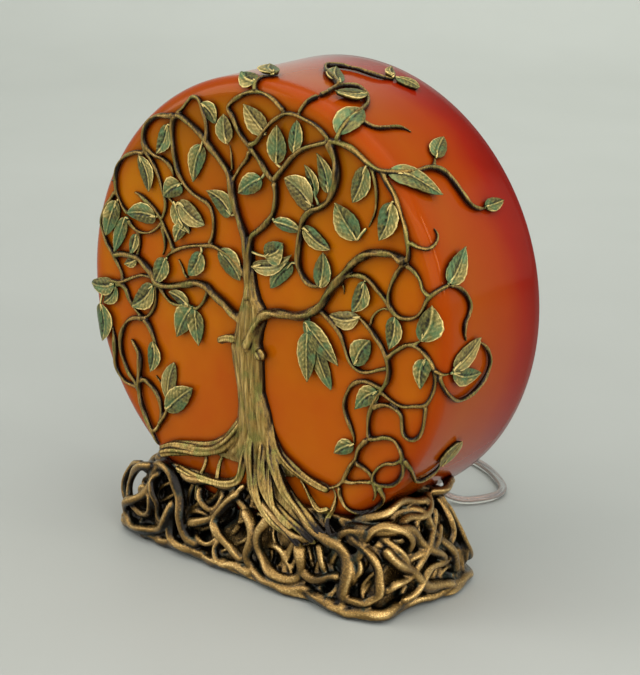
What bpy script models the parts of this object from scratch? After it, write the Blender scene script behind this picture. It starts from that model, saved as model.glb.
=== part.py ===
"""Accent lamp: an amber drum shade in a root base, with a tree modelled in relief over it.

Metres, +Z up, the front faces -Y. The origin is the middle of the felt under the base.
The tree is laid out on the unrolled shade: u runs right and v runs up from the drum's centre,
in millimetres along the surface, over the front face, round its edge and back along the side.
"""
import math

import bmesh
import bpy
from mathutils import Matrix, Vector

MM = 0.001
GAP = 0.35                      # clearance between neighbouring pieces

# drum shade
DRUM_Z = 135.0                  # height of the drum's axis
FRONT_Y = -33.5
BACK_Y = 42.5
FRONT_R = 110.5
BACK_R = 112.0
EDGE_R = 9.0                    # round between the face and the side
WALL = 3.0
FLAT_R = FRONT_R - EDGE_R
ARC = EDGE_R * math.pi / 2
SIDE = BACK_Y - FRONT_Y - EDGE_R

# base
FELT_T = 1.5
BASE_BOTTOM = FELT_T + GAP
BASE_TOP = 46.0

# back cover and lamp holder
COVER_FRONT, COVER_BACK = 35.5, 38.5
COVER_R = 108.2
SOCKET_Z = 112.0
SOCKET_HOLE_R = 13.5
SCREW_RING_R = 101.0
SCREW_ANGLES = (90.0, 210.0, 330.0)
SCREW_L, SCREW_R, SCREW_HEAD_R = 13.6, 1.2, 3.2
PILOT_R, CLEARANCE_R = 1.55, 1.9        # screw holes in the boss and in the cover
BOSS_HALF, BOSS_L, BOSS_TOP = 5.0, 12.5, 110.0
VENT_ROWS, VENT_FIRST, VENT_PITCH, VENT_HIGH, VENT_HALF = 4, 42.0, 9.0, 3.2, 24.0

# cord
CORD_D = 4.6
CORD_STEP = 2.6 * CORD_D        # distance between points along the cord
COIL_X, COIL_Y = -88.0, 112.0
COIL_R = 25.0
COIL_HALF = 8.0
COIL_LOW, COIL_HIGH = 1.9, 15.9
SWITCH_X, SWITCH_Y = -58.0, 160.0
SWITCH_L, SWITCH_W = 48.0, 15.0
SWITCH_MID = 6.4
ROLLER_R, ROLLER_T, ROLLER_Z = 6.4, 4.4, 9.6
PLUG_X, PLUG_Y0, PLUG_Y1, PLUG_MID = -41.0, 104.0, 132.0, 6.8
PLUG_HALF_W, PLUG_LOW, PLUG_HIGH = 12.0, 0.3, 13.3
BLADE_L, BLADE_NEAR, BLADE_FAR = 16.5, 5.6, 7.1      # length; distances of a blade's faces from the middle
LINE_HALF, NEUTRAL_HALF = 3.2, 4.0                  # half heights of the narrow and the wide blade

# relief
VINE_STEP = 11.0                # distance between points on the face
EDGE_STEP = 4.6                 # and where the surface curves
ROOT_STEP = 11.0                # and along the base's roots
LEAF_T = 1.7
TRUNK_HALF = 3.1                # half the trunk's thickness
KERF = 0.7                      # joint between the cast relief pieces
LEFT_CUT, RIGHT_CUT = -27.4, 32.6      # upright joints
CROWN_CUT, LOW_CUT = 14.0, -19.0       # level joints, above the trunk and at the sides
ROOT_CUT = 43.0                        # joint at the end of the right root sweep
FOOT_GAP = 4.5                         # between the relief's foot and the base
SIDE_DEPTH = 14.0                      # a piece deeper than this behind the face is a side sprig
SMALLEST = 60.0                 # smallest relief piece kept, in cubic millimetres

# Cord from the strain relief to the switch, from the switch to the coil, and from the coil to the plug.
LEAD_ROUTE = [(0, 78.4, 112), (0, 84, 112), (0, 91, 109.6), (1, 97.4, 102), (2, 101, 88), (3, 101, 70),
              (4, 99, 50), (7, 98, 30), (12, 99, 15), (18, 102, 6), (26, 107, 2.9), (32, 115, 2.6),
              (35.5, 123, 2.6), (35.5, 131, 2.6), (31.5, 139, 2.6), (23, 147, 2.6), (12, 155, 2.6),
              (0, 161, 2.6), (-12, 163, 3.2), (-24, 161.5, 5.6), (-33.6, 160, 6.4)]
LINK_ROUTE = [(-82.4, 160, 6.4), (-92, 158.8, 6.4), (-103, 154, 6.6), (-110.5, 146, 7.2),
              (-112.6, 139, 7.8)]
TAIL_ROUTE = [(-64, 84.9, 2.8), (-55.5, 86.6, 2.7), (-48, 90.4, 4.0), (-43, 96.2, 6.0), (-41.3, 100, 6.6),
              (-41, 103, 6.8)]

# Trunk outline on the unrolled face, clockwise from the top left.
TRUNK = [(-5, 26), (-1, 26), (2.5, 12), (6, 6), (8.5, 0), (6.5, -9), (5.5, -16), (10, -21), (8.5, -26),
         (7, -34), (8.5, -43), (11.5, -50), (14, -59), (19, -68), (25, -73), (37, -76.5), (48, -77.5),
         (46, -81), (36, -81.5), (27, -80), (20, -78), (13, -76), (11, -83), (5, -86), (0, -86),
         (-4, -82), (-12, -79), (-24, -81), (-38, -84), (-50, -85.5), (-50, -80), (-38, -78),
         (-26, -75), (-17, -71), (-11.5, -65), (-9, -56), (-8.5, -45), (-9.5, -36), (-12, -28),
         (-14.5, -22), (-19, -18.5), (-17, -16), (-11, -17), (-10, -8), (-8, -1), (-5.5, 6)]

# Branches and vines: width, then the route's points (u, v). They start where they join.
VINES = [
    # left main branch and the canopy above it
    (4.2, [(-2.5, 20), (-3, 27), (-4.5, 35), (-7.5, 41.5), (-10.5, 48), (-12.5, 54), (-13.8, 60),
           (-16, 65), (-20, 69.5), (-24, 73), (-29, 77), (-34, 80.5), (-40, 84), (-45, 86.8),
           (-49, 87.2)]),
    (3.0, [(-49, 87.2), (-54, 86), (-60, 84.5), (-65, 82), (-68.5, 78.5), (-70.5, 74), (-70, 70),
           (-67, 67), (-63, 65.3), (-58, 64.8), (-54, 63), (-51.5, 60), (-50.8, 55)]),
    (2.8, [(-49, 87), (-50.7, 82), (-51, 76), (-50.3, 70), (-49, 64), (-47, 58.5), (-43.5, 54.5),
           (-38, 51), (-33, 49), (-28.5, 47), (-25.8, 43), (-24.6, 37), (-25, 31), (-27, 27)]),
    (2.6, [(-29, 77), (-28.8, 83), (-29.5, 88), (-31.5, 93), (-34, 96.5), (-38, 96.5), (-42, 93),
           (-45, 90), (-48.5, 88)]),
    # right fork of the trunk
    (3.6, [(-2, 24), (-1.5, 31), (0, 36), (4, 39), (8, 42.5), (11.5, 47), (13.3, 52), (13.9, 58),
           (13.3, 64.5)]),
    (3.0, [(13.3, 64.5), (9, 67.5), (5, 71.5), (1, 75.5), (-3, 79), (-6.5, 82.5), (-10, 87), (-13, 91.5),
           (-16, 95), (-12.5, 99), (-7, 102), (0, 103.6), (7, 103.4), (13, 101.6), (19, 98)]),
    (3.4, [(13.3, 64.5), (16, 68.5), (20, 73), (25, 78), (30.5, 81.8), (37, 85), (45, 88)]),
    (2.6, [(-3, 79), (2, 81), (5.5, 85), (10, 90.5), (14, 94), (19, 97), (24, 97.4), (30, 95.8),
           (36, 94), (41, 91.5), (45, 88.5)]),
    (2.4, [(-2, 77), (-4.5, 72), (-8, 68), (-10.5, 64), (-13, 59)]),
    (4.0, [(45, 88), (48, 83), (50, 77), (50, 71), (48, 65), (45, 60), (41, 56.5), (36, 54), (32, 50),
           (29.5, 45), (28.5, 39), (28, 33), (28.5, 27), (31, 22.3), (36, 18.8), (42, 19)]),
    (3.2, [(45, 88.5), (51, 88), (57, 86), (62, 83), (67, 80), (73, 77.8), (80, 78), (85, 80),
           (90, 84), (95, 89), (100, 91.6), (105, 91.6), (109, 89.6), (113, 85.6), (117, 81.6),
           (121, 78), (125, 76.2), (130, 76.4), (135, 79)]),
    (2.8, [(73, 77.8), (76.5, 73), (80, 69), (83, 64.8), (86, 59.8), (88.7, 54.5), (90.2, 49),
           (91, 44), (90, 39)]),
    (2.0, [(67, 80), (70, 75.5), (72, 70), (72.4, 64), (71, 57.5), (67, 51)]),
    # right main branch
    (5.0, [(6, -3), (11, 0), (17, 1.4), (23, 2.2), (29, 3), (35, 4.8), (40, 7.5), (43.5, 11),
           (46, 15.5), (49, 20), (53, 24.8), (57, 29.5), (61, 33.5), (65, 37), (70, 40), (76, 41.6),
           (83, 42), (90, 39)]),
    (2.6, [(90, 39), (87, 35.8), (84, 31.8), (81.7, 27.5), (80.7, 22.5), (81.8, 17.5), (85, 14)]),
    (2.4, [(90, 38), (94, 36.3), (97, 33), (99, 28.5), (102, 25.5)]),
    (3.0, [(53, 24.8), (57, 27), (62, 28.6), (67, 28.6), (71, 26.6), (75, 23), (79, 19.5), (85, 14),
           (91, 13.6), (96, 15.4), (99.6, 19), (101.5, 24), (105, 28), (109.5, 31)]),
    (2.4, [(109.5, 31), (114, 31), (118.5, 29.3), (122.4, 26), (124.6, 21.5), (124, 17), (121.6, 13),
           (121.5, 8), (124, 3)]),
    (2.6, [(42, 8), (46, 5.5), (50, 2), (54, -2.2), (56, -6.5), (58.5, -11), (62, -15), (66.5, -16.6),
           (71.5, -16), (77, -13.8), (81.8, -12)]),
    (3.0, [(64, 8.5), (68, 6.6), (72, 4), (76, 0.3), (79, -3), (81.6, -7.5), (82.4, -13), (81.2, -18),
           (78.5, -22.5), (76, -27), (73.6, -32), (72, -37), (71.2, -42.5), (71.4, -48)]),
    (2.6, [(81.6, -7.5), (84, -4), (87.5, -1), (92, 1.5), (98, 1.2), (102, -1.6), (105, -7),
           (106, -13), (105.2, -19), (102, -25), (96, -26.8), (90, -28), (84, -27), (78, -24.5)]),
    (2.0, [(92, 1.5), (96, 3), (101, 6)]),
    (2.4, [(105, -7), (109, -10), (114, -10.5)]),
    (2.4, [(107, -10), (109, -16), (112.6, -21.8), (117.5, -26.2), (123.5, -28.6), (129.5, -28.2),
           (135, -25.4), (139.4, -20), (141, -13.5), (139.6, -7), (136, -1.4), (131, 2.4)]),
    # lower right
    (2.8, [(78.5, -22.5), (73, -21.5), (68, -21.4), (63, -23), (59.5, -26), (57.2, -30.5),
           (56.6, -35.5), (58, -40), (60.5, -44.5), (62.5, -49.5), (62.4, -54)]),
    (2.6, [(73.6, -33), (76, -31), (80.5, -29.6), (85.5, -30.2), (89.2, -32.6), (90.2, -37),
           (91.6, -41.4), (95, -43), (98.2, -40.6), (100.2, -36), (101.4, -31), (102.4, -25.5)]),
    (2.6, [(71.4, -48), (76, -47.4), (81, -45.6), (86, -45.6), (89.6, -48.4), (90.3, -53),
           (86.6, -56.6), (81.5, -58), (77.4, -60.8), (74.8, -65), (74.6, -69.5)]),
    (3.0, [(71.4, -48), (68.4, -51.4), (66, -55.4), (64.8, -60), (62, -64), (59.4, -68),
           (56.6, -73), (51.5, -77), (46, -79)]),
    (2.4, [(64.4, -61.6), (69, -63), (73, -65.6), (74.8, -70), (74.4, -75), (72, -80)]),
    (2.4, [(57.4, -72), (62, -72.3), (67.5, -70.8), (74, -69.6)]),
    (2.4, [(90, -54), (89, -60), (87, -65), (83.6, -68.6), (79, -69.6), (74.8, -69.8)]),
    (2.4, [(90.3, -53), (92.6, -58), (93.4, -64), (93.6, -70), (95.8, -76.5), (101, -80.5),
           (107, -80), (111, -76)]),
    # left main branch and the lower left
    (4.0, [(-7, -6), (-12, -3.5), (-16, -1.2), (-20, 0.6), (-25, 3), (-29, 6), (-34, 6.8), (-39, 5.8),
           (-45, 3.8), (-51, 1.8), (-57, 0.6), (-62, 1.6), (-65, 5.5), (-69, 9), (-74, 11.8),
           (-80, 12), (-86, 11.6), (-91, 10.5)]),
    (2.8, [(-4, 15), (-8, 20), (-13, 23.5), (-19, 25.4), (-25, 26.4), (-31, 25.6), (-38, 24.6),
           (-45, 22.6), (-50.5, 19.6), (-55, 16), (-58, 12)]),
    (2.2, [(-28, 4.6), (-30, 0), (-32.6, -4), (-36, -7), (-38.5, -6.5)]),
    (2.4, [(-60, 0.8), (-57, -3.2), (-52, -6.2), (-46, -7), (-38.5, -6.6)]),
    (2.6, [(-78, 45), (-73, 44), (-68, 41), (-63, 37.5), (-59.4, 33.8), (-56.4, 29.8), (-53.4, 25.6),
           (-50.8, 20)]),
    (2.4, [(-71, 72), (-69, 66), (-65, 62), (-61.4, 57), (-58.8, 51.6), (-56.8, 46.4), (-56.2, 41.4),
           (-57.6, 37), (-59.6, 34)]),
    (2.4, [(-69, 65.6), (-74, 65.4), (-79, 63.6), (-84, 60.4), (-87.6, 56.4), (-89.6, 51.6),
           (-90, 46.6), (-89, 42), (-85.6, 37.2), (-81, 33)]),
    (2.2, [(-81, 30.6), (-78, 27.6), (-73, 25.6), (-67, 26), (-62, 28.6), (-58.4, 32.4)]),
    (2.2, [(-58.2, 31), (-57, 26), (-57.4, 20.5), (-59.6, 15.5)]),
    (2.0, [(-75, 25.6), (-74, 20), (-75, 15), (-76, 12)]),
    (2.6, [(-89.5, 43.5), (-93.5, 37.5), (-97, 32), (-99.4, 26), (-98.6, 20.5), (-96, 15.5),
           (-92.5, 11.6), (-88.6, 6.6), (-86, 2), (-85.5, -2)]),
    (2.6, [(-99, -4), (-93, -3), (-87.5, -2.8), (-82, -1), (-76.6, 1.6), (-71, 3.8), (-64.6, 4)]),
    (2.6, [(-90, -5), (-86.6, -3.8), (-83.6, -6), (-81.8, -10), (-78.8, -13.8), (-75, -16.2),
           (-71, -17.8), (-66.8, -15), (-64, -10.6), (-62.8, -5), (-62.4, 1)]),
    (2.8, [(-71, -18.4), (-75.5, -18.8), (-80, -20.6), (-83.6, -24), (-86.2, -29), (-87.4, -35),
           (-86.8, -40.6), (-84.8, -45.6), (-81.6, -50), (-77, -53.6), (-74.4, -58)]),
    (2.8, [(-71, -18.4), (-67.6, -21), (-65.2, -25), (-63.2, -30), (-61.8, -35.5)]),
    (3.2, [(-80.5, -31), (-77.2, -33.4), (-74.4, -37), (-73.6, -42), (-74, -47), (-74.4, -52),
           (-74, -58), (-72.2, -64.4), (-69.6, -70.4), (-67, -75.6), (-64.6, -80), (-62, -84)]),
    (2.8, [(-94, -27), (-92.4, -33), (-91.8, -39.5), (-91.4, -45.6), (-89.2, -50.6), (-85, -54.2),
           (-80, -55.4), (-74.4, -56)]),
    (2.8, [(-74.4, -53), (-71, -50.8), (-67, -52.2), (-63, -55.2), (-60.4, -59), (-59.6, -64),
           (-60, -69), (-61.8, -73), (-65, -77)]),
    (2.6, [(-61, -72), (-58, -67.6), (-56, -63), (-55, -58)]),
    # sprigs over the top edge and on the side
    (2.4, [(1, 103.6), (-1, 107), (0, 111), (3, 114)]),
    (3.0, [(50, 88), (50.6, 92), (52, 98), (53.2, 104), (54.2, 110), (54.4, 117), (52.6, 123.4),
           (48.6, 128.6), (43, 131), (38, 128.8), (35.6, 124), (34.6, 117.6), (34.6, 110.5),
           (33.4, 107)]),
    (2.2, [(54, 100.5), (60, 99.6), (65, 101), (69, 104.6), (73, 108.6), (78, 111.2), (82.5, 111.6)]),
    (2.6, [(35.4, 123), (31, 128), (26, 132.4), (20, 137.4), (14.6, 142.4), (11.4, 147), (14, 150.6),
           (19, 152.4), (26, 153.4), (33, 153.2), (40, 153.4), (46, 154.6), (52, 158)]),
    (2.2, [(98, 91.6), (98.3, 96), (98.6, 101)]),
    (2.2, [(33.4, 107), (29.5, 103), (26.5, 97.6)]),
]

# Leaves: where the stalk end and the tip lie (u, v), and the width.
LEAVES = [
    ((-54, 81.5), (-62, 67), 8.5), ((-73, 64), (-66, 47), 9), ((-32, 95), (-22, 87.5), 8),
    ((-15.6, 78), (-17, 92), 9), ((7.4, 85.6), (-4.5, 99), 10.5), ((14.5, 73), (15.5, 91), 10.5),
    ((25, 79.5), (26, 95), 7.5), ((6, 65), (-7.5, 55), 9), ((-32, 75), (-38, 56.5), 9),
    ((-13, 44), (-27.5, 54.5), 10.5), ((-45, 54), (-56, 46), 9.5), ((36.5, 56.5), (19.5, 66), 13),
    ((37.5, 61), (31.5, 75), 6.5), ((45.6, 64), (40.3, 82), 8.5), ((41.8, 19), (44, 36), 9.5),
    ((14, 45.6), (30.4, 45), 6), ((66, 79), (60, 61.5), 9.5), ((62.4, 45), (51, 61), 12),
    ((81, 65), (75, 47.5), 10.5), ((67.6, 26.6), (62, 11), 9), ((64.6, 9), (47, 5), 8),
    ((62.6, -14), (72, -0.6), 10), ((85.4, 13.4), (82, -2), 9), ((76, 77.6), (103.5, 74.5), 10),
    ((98.6, 99), (98.2, 117.6), 9.5), ((133, 78), (144.5, 86), 8.5), ((109, 31.6), (120, 50), 10.5),
    ((100.6, 5.4), (104.4, 22), 9.5), ((114, -8), (132, 4.4), 10), ((113, -9.6), (134, -16), 9),
    ((102.4, -3), (100.4, -17), 7), ((77, -23.6), (64, -34), 8.5), ((62.6, -53), (51.8, -60), 7),
    ((110, -76), (122, -61.5), 11), ((50.4, 91), (54.6, 108), 11.5), ((51, 124), (38, 112), 9.5),
    ((33.8, 128.6), (19, 147), 8.5), ((52, 157.6), (70, 156), 7), ((50.4, 158), (41, 168), 5.5),
    ((5, 113.4), (-7, 125), 9), ((-0.6, 108), (-13, 112), 7),
    ((-21, 25.6), (-6.5, 13.5), 11.5), ((-32, 22.5), (-39, 9), 9), ((-55, 15.5), (-62, 1.5), 9),
    ((-36.5, -7.5), (-34.6, -25), 9.5), ((-38.5, -6), (-48, -23), 11), ((-40, -6), (-53.4, -2), 6.5),
    ((-46, 45), (-29, 37), 9.5), ((-50, 44), (-40, 30), 8), ((-44, 33.6), (-49, 25), 6.5),
    ((-61.5, 35), (-81, 33), 9.5), ((-88, 39), (-94.4, 19.5), 9), ((-83, 31), (-91, 12), 7),
    ((-75, 24), (-79.6, 13), 5.5), ((-75, 11), (-83, 7.6), 5), ((-90, -4), (-106, -8), 8.5),
    ((-90, -5.4), (-98.4, -16), 7.5), ((-64, 0), (-79, -12.6), 10.5), ((-64, -29), (-66, -45), 8.5),
    ((-100, -16), (-97.6, -35.5), 10.5), ((-55, -58), (-51.6, -37), 8.5), ((-56, -63), (-36.8, -48), 11),
    ((33, 1), (53, -17.5), 10), ((35, -4), (36, -28), 10), ((38, -8), (50.4, -28.6), 8),
    ((31, 45.5), (47.4, 38), 7.5), ((1, 21.6), (26, 30), 7), ((9, 28), (20.4, 36), 11),
    ((24, 27), (12.4, 12), 8.5),
]

# Roots on the base: radius, then points (x, y, z).
ROOTS = [
    (2.9, [(-58, -37, 44), (-61, -38, 36), (-64, -40, 29), (-73, -40, 22), (-80, -39, 17),
           (-82, -38, 11), (-76, -40, 6), (-66, -42, 6), (-56, -42, 10), (-50, -42, 18), (-48, -41, 26)]),
    (3.2, [(-72, -34, 38), (-66, -37, 38), (-58, -38, 42), (-48, -39, 41), (-43, -41, 31),
           (-39, -43, 20), (-34, -44, 12), (-28, -44, 9)]),
    (2.6, [(-48, -41, 25), (-48, -42, 17), (-45, -43, 9), (-36, -44, 5), (-24, -45, 5)]),
    (2.8, [(-45, -39, 43), (-32, -39, 41), (-22, -39, 42), (-8, -40, 45)]),
    (2.8, [(-36, -43, 18), (-27, -43, 21), (-18, -42, 28), (-9, -41, 36), (-4, -41, 42)]),
    (2.8, [(-7, -41, 37), (-13, -42, 30), (-17, -43, 24), (-12, -44, 18), (-4, -45, 14), (3, -45, 9)]),
    (3.0, [(0, -41, 34), (5, -42, 28), (7, -43, 20), (6, -44, 12), (8, -44.5, 6)]),
    (3.0, [(18, -42, 36), (13.5, -43, 27), (13.5, -44, 17), (19, -45, 9), (28, -45, 8), (37, -44.5, 11),
           (39.5, -44, 18), (38, -43, 27)]),
    (3.4, [(9, -40, 44), (17, -41.5, 38), (25, -42.5, 33), (35, -42, 31), (45, -42, 32)]),
    (3.6, [(33, -40, 44), (43, -41, 38), (54, -42, 34.5), (63, -43, 31), (67.5, -44, 24), (68, -45, 15),
           (68, -46, 7)]),
    (2.8, [(40, -44, 14), (48, -44, 13), (57, -44, 16), (66, -44, 18)]),
    (2.8, [(44, -45, 5), (54, -47, 5), (64, -47, 5), (70, -46, 10), (79, -44, 9), (86, -41, 14),
           (83, -41, 22), (80, -41, 30), (75, -41, 35), (67, -41, 38)]),
    (3.2, [(64, -39, 40), (74, -38, 43), (84, -32, 43), (88, -22, 40), (90, -10, 30), (92, 2, 20)]),
    (3.2, [(76, -24, 46), (82, -12, 46), (86, -4, 38), (89, 6, 24), (91, 14, 10)]),
    (3.4, [(70, 6, 50), (76, 14, 46), (80, 18, 34), (83, 24, 22), (86, 27, 9)]),
    (3.2, [(86, -38, 36), (90, -30, 26), (91, -18, 16), (92, -4, 9), (93, 8, 5)]),
    (3.0, [(-70, -20, 42), (-78, -8, 34), (-84, 6, 20), (-86, 18, 8)]),
    (3.0, [(-80, -24, 28), (-86, -14, 18), (-89, 0, 9)]),
]

# Base outline at four heights: points (x, y), the same number each.
BASE_RINGS = [
    (BASE_BOTTOM, [(-89, -35), (-70, -40), (-45, -42.5), (-18, -45), (8, -46), (30, -48.5), (48, -46.5),
                   (62, -50), (80, -47), (89, -40), (88, -22), (91, -5), (95, 6), (91, 22), (84, 32),
                   (60, 36.5), (20, 37), (-20, 37), (-60, 36), (-84, 28), (-90, 8), (-92, -16)]),
    (13.0, [(-85, -34), (-69, -37.5), (-45, -39.5), (-18, -41), (8, -42), (30, -42.5), (48, -42),
            (62, -43), (78, -42), (87, -36), (88, -20), (90, -5), (92, 6), (88, 20), (82, 29),
            (60, 34), (20, 35), (-20, 35), (-60, 34), (-81, 26), (-86, 8), (-87, -14)]),
    (32.0, [(-74, -32), (-64, -36.5), (-45, -38), (-18, -38.5), (8, -38.5), (30, -39), (48, -39),
            (62, -39.5), (76, -38), (84, -32), (86, -18), (86, -5), (84, 6), (81, 17), (77, 26),
            (60, 31), (20, 33), (-20, 33), (-60, 31), (-73, 24), (-77, 8), (-77, -14)]),
    (BASE_TOP, [(-66, -30), (-61, -34.5), (-45, -36.5), (-18, -37), (8, -37), (30, -37), (48, -37),
                (60, -37), (71, -34.5), (78, -29), (80, -16), (79, -5), (77, 6), (74, 15), (71, 22),
                (60, 28), (20, 30), (-20, 30), (-60, 28), (-66, 22), (-69, 8), (-69, -14)]),
]


def clear_scene():
    """Remove whatever the file started with."""
    for old in list(bpy.data.objects):
        bpy.data.objects.remove(old, do_unlink=True)


def new_collection(name):
    """Make a collection under the scene."""
    made = bpy.data.collections.new(name)
    bpy.context.scene.collection.children.link(made)
    return made


def material(name, colour, roughness, metallic=0.0, alpha=1.0):
    """A plain Principled material."""
    made = bpy.data.materials.new(name)
    made.use_nodes = True
    shader = made.node_tree.nodes["Principled BSDF"]
    shader.inputs["Base Color"].default_value = (*colour, 1.0)
    shader.inputs["Roughness"].default_value = roughness
    shader.inputs["Metallic"].default_value = metallic
    shader.inputs["Alpha"].default_value = alpha
    return made


def to_metres(point):
    """A millimetre triple as a vector in metres."""
    return Vector(point) * MM


def add_object(name, mesh, group, look=None):
    """Link a mesh as an object, in a collection and with a material."""
    made = bpy.data.objects.new(name, mesh)
    group.objects.link(made)
    if look is not None:
        mesh.materials.clear()
        mesh.materials.append(look)
    return made


def from_bmesh(name, shape, group, look=None):
    """Turn a bmesh into an object."""
    mesh = bpy.data.meshes.new(name)
    bmesh.ops.recalc_face_normals(shape, faces=shape.faces)
    shape.to_mesh(mesh)
    shape.free()
    return add_object(name, mesh, group, look)


def box(name, low, high, group, look=None, bevel=0.0):
    """An upright box between two corners, with bevelled edges if asked."""
    low, high = to_metres(low), to_metres(high)
    shape = bmesh.new()
    size = high - low
    place = Matrix.Translation((low + high) / 2) @ Matrix.Diagonal((*size, 1.0))
    bmesh.ops.create_cube(shape, size=1.0, matrix=place)
    made = from_bmesh(name, shape, group, look)
    if bevel:
        rounding = made.modifiers.new("rounding", "BEVEL")
        rounding.width = bevel * MM
        rounding.segments = 2
        rounding.limit_method = "ANGLE"
    return made


def cylinder(name, start, end, radius, group, look=None, segments=24):
    """A round bar between two points."""
    start, end = to_metres(start), to_metres(end)
    along = end - start
    turn = along.to_track_quat("Z", "Y").to_matrix().to_4x4()
    place = Matrix.Translation((start + end) / 2) @ turn
    shape = bmesh.new()
    bmesh.ops.create_cone(shape, cap_ends=True, segments=segments, radius1=radius * MM,
                          radius2=radius * MM, depth=along.length, matrix=place)
    return from_bmesh(name, shape, group, look)


def turned(name, profile, origin, group, look, segments=32, closed=True, along_y=True):
    """Turn a profile (radius, height) about an axis through origin; height runs towards -Y or +Z.

    An open profile starts and ends on the axis. The outer side is listed top to bottom.
    """
    mesh = bpy.data.meshes.new(name)
    points = [(r * MM, 0.0, h * MM) for r, h in profile]
    edges = [(i, i + 1) for i in range(len(points) - 1)]
    if closed:
        edges.append((len(points) - 1, 0))
    mesh.from_pydata(points, edges, [])
    made = add_object(name, mesh, group, look)
    made.location = to_metres(origin)
    if along_y:
        made.rotation_euler = (math.pi / 2, 0.0, 0.0)
    spin = made.modifiers.new("turn", "SCREW")
    spin.steps = segments
    spin.render_steps = segments
    spin.use_merge_vertices = True
    spin.merge_threshold = 0.00001
    return made


def arc(centre, radius, start, end, count):
    """Points on an arc in a profile, from one angle in degrees to another."""
    steps = [math.radians(start + (end - start) * i / count) for i in range(count + 1)]
    return [(centre[0] + radius * math.cos(a), centre[1] + radius * math.sin(a)) for a in steps]


def baked(source, group):
    """Replace an object by its evaluated mesh, welded, in world space."""
    bpy.context.view_layer.update()
    graph = bpy.context.evaluated_depsgraph_get()
    mesh = bpy.data.meshes.new_from_object(source.evaluated_get(graph))
    mesh.transform(source.matrix_world)
    name = source.name
    looks = [slot.material for slot in source.material_slots]
    bpy.data.objects.remove(source, do_unlink=True)
    shape = bmesh.new()
    shape.from_mesh(mesh)
    bmesh.ops.remove_doubles(shape, verts=shape.verts, dist=0.000002)
    bmesh.ops.dissolve_degenerate(shape, edges=shape.edges, dist=0.000002)
    shape.to_mesh(mesh)
    shape.free()
    mesh.name = name
    return add_object(name, mesh, group, looks[0] if looks else None)


def cut(target, tool, operation="DIFFERENCE", self_overlap=False):
    """A Boolean with a hidden cutter."""
    step = target.modifiers.new("boolean", "BOOLEAN")
    step.operation = operation
    step.solver = "EXACT"
    step.use_self = self_overlap
    step.object = tool
    tool.hide_render = True
    tool.display_type = "WIRE"
    return target


def smooth_route(points, step_at):
    """Points on a smooth curve through a route's own points, a step apart set by step_at(point)."""
    points = [Vector(p) for p in points]
    ends = [2 * points[0] - points[1]] + points + [2 * points[-1] - points[-2]]
    fine = []
    for a, b, c, d in zip(ends, ends[1:], ends[2:], ends[3:]):
        for i in range(12):
            t = i / 12
            fine.append(0.5 * ((2 * b) + (c - a) * t + (2 * a - 5 * b + 4 * c - d) * t * t
                               + (3 * b - a - 3 * c + d) * t ** 3))
    fine.append(points[-1])
    kept, since = [fine[0]], 0.0
    for before, after in zip(fine, fine[1:]):
        since += (after - before).length
        if since >= step_at(after):
            kept.append(after)
            since = 0.0
    if since > 0.4 * step_at(fine[-1]) or len(kept) < 2:
        kept.append(fine[-1])
    else:
        kept[-1] = fine[-1]
    return kept


def tube(name, points, radius, group, look=None, resolution=0):
    """A capped tube along millimetre points."""
    line = bpy.data.curves.new(name, "CURVE")
    line.dimensions = "3D"
    line.bevel_depth = radius * MM
    line.bevel_resolution = resolution
    line.use_fill_caps = True
    strand = line.splines.new("POLY")
    strand.points.add(len(points) - 1)
    for knot, point in zip(strand.points, points):
        knot.co = (*to_metres(point), 1.0)
    made = bpy.data.objects.new(name, line)
    group.objects.link(made)
    if look is not None:
        line.materials.append(look)
    return baked(made, group)


def on_drum(u, v, lift):
    """A point above the unrolled shade, with the surface's normal there, in millimetres."""
    reach = math.hypot(u, v)
    across, upward = (u / reach, v / reach) if reach > 0 else (0.0, 1.0)
    lean = min(max((reach - FLAT_R) / EDGE_R, 0.0), math.pi / 2)
    back = max(reach - FLAT_R - ARC, 0.0)
    if reach < FLAT_R:
        radius, y = reach, FRONT_Y
    else:
        radius = FLAT_R + EDGE_R * math.sin(lean) + (BACK_R - FRONT_R) * back / SIDE
        y = FRONT_Y + EDGE_R * (1 - math.cos(lean)) + back
    normal = Vector((math.sin(lean) * across, -math.cos(lean), math.sin(lean) * upward))
    return Vector((radius * across, y, DRUM_Z + radius * upward)) + normal * lift, normal


def vine_step(point):
    """Wide steps on the flat face, short ones where the surface curves."""
    reach = math.hypot(point[0], point[1])
    return VINE_STEP if reach < FLAT_R - 4 or reach > FLAT_R + ARC + 3 else EDGE_STEP


def vine(index, width, route, group):
    """One vine as a square-section tube just clear of the shade."""
    radius = width / 2 + 0.02 * (index % 5)
    lift = radius + GAP + 0.15
    flat = smooth_route([(u, v, 0) for u, v in route], vine_step)
    return tube("vine", [on_drum(p[0], p[1], lift)[0] for p in flat], radius, group)


def leaf(index, stalk, tip, width, group):
    """One leaf as a thin six-sided lozenge lying along the surface, reaching its vine."""
    joint, high = nearest_knot(stalk), Vector(tip)
    low = joint + (joint - high).normalized() * 0.8
    middle = (low + high) / 2
    lift = GAP + LEAF_T / 2 + 0.25 + 0.03 * (index % 5)
    centre, normal = on_drum(middle[0], middle[1], lift)
    along = on_drum(high[0], high[1], lift)[0] - on_drum(low[0], low[1], lift)[0]
    along = (along - normal * along.dot(normal)).normalized()
    across = normal.cross(along)
    length = (high - low).length
    shape = bmesh.new()
    bmesh.ops.create_cone(shape, cap_ends=True, segments=6, radius1=0.5, radius2=0.5, depth=1.0)
    frame = Matrix((along * length * MM, across * width * 1.12 * MM, normal * LEAF_T * MM))
    frame = frame.transposed().to_4x4()
    frame.translation = centre * MM
    shape.transform(frame)
    return from_bmesh("leaf", shape, group)


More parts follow.
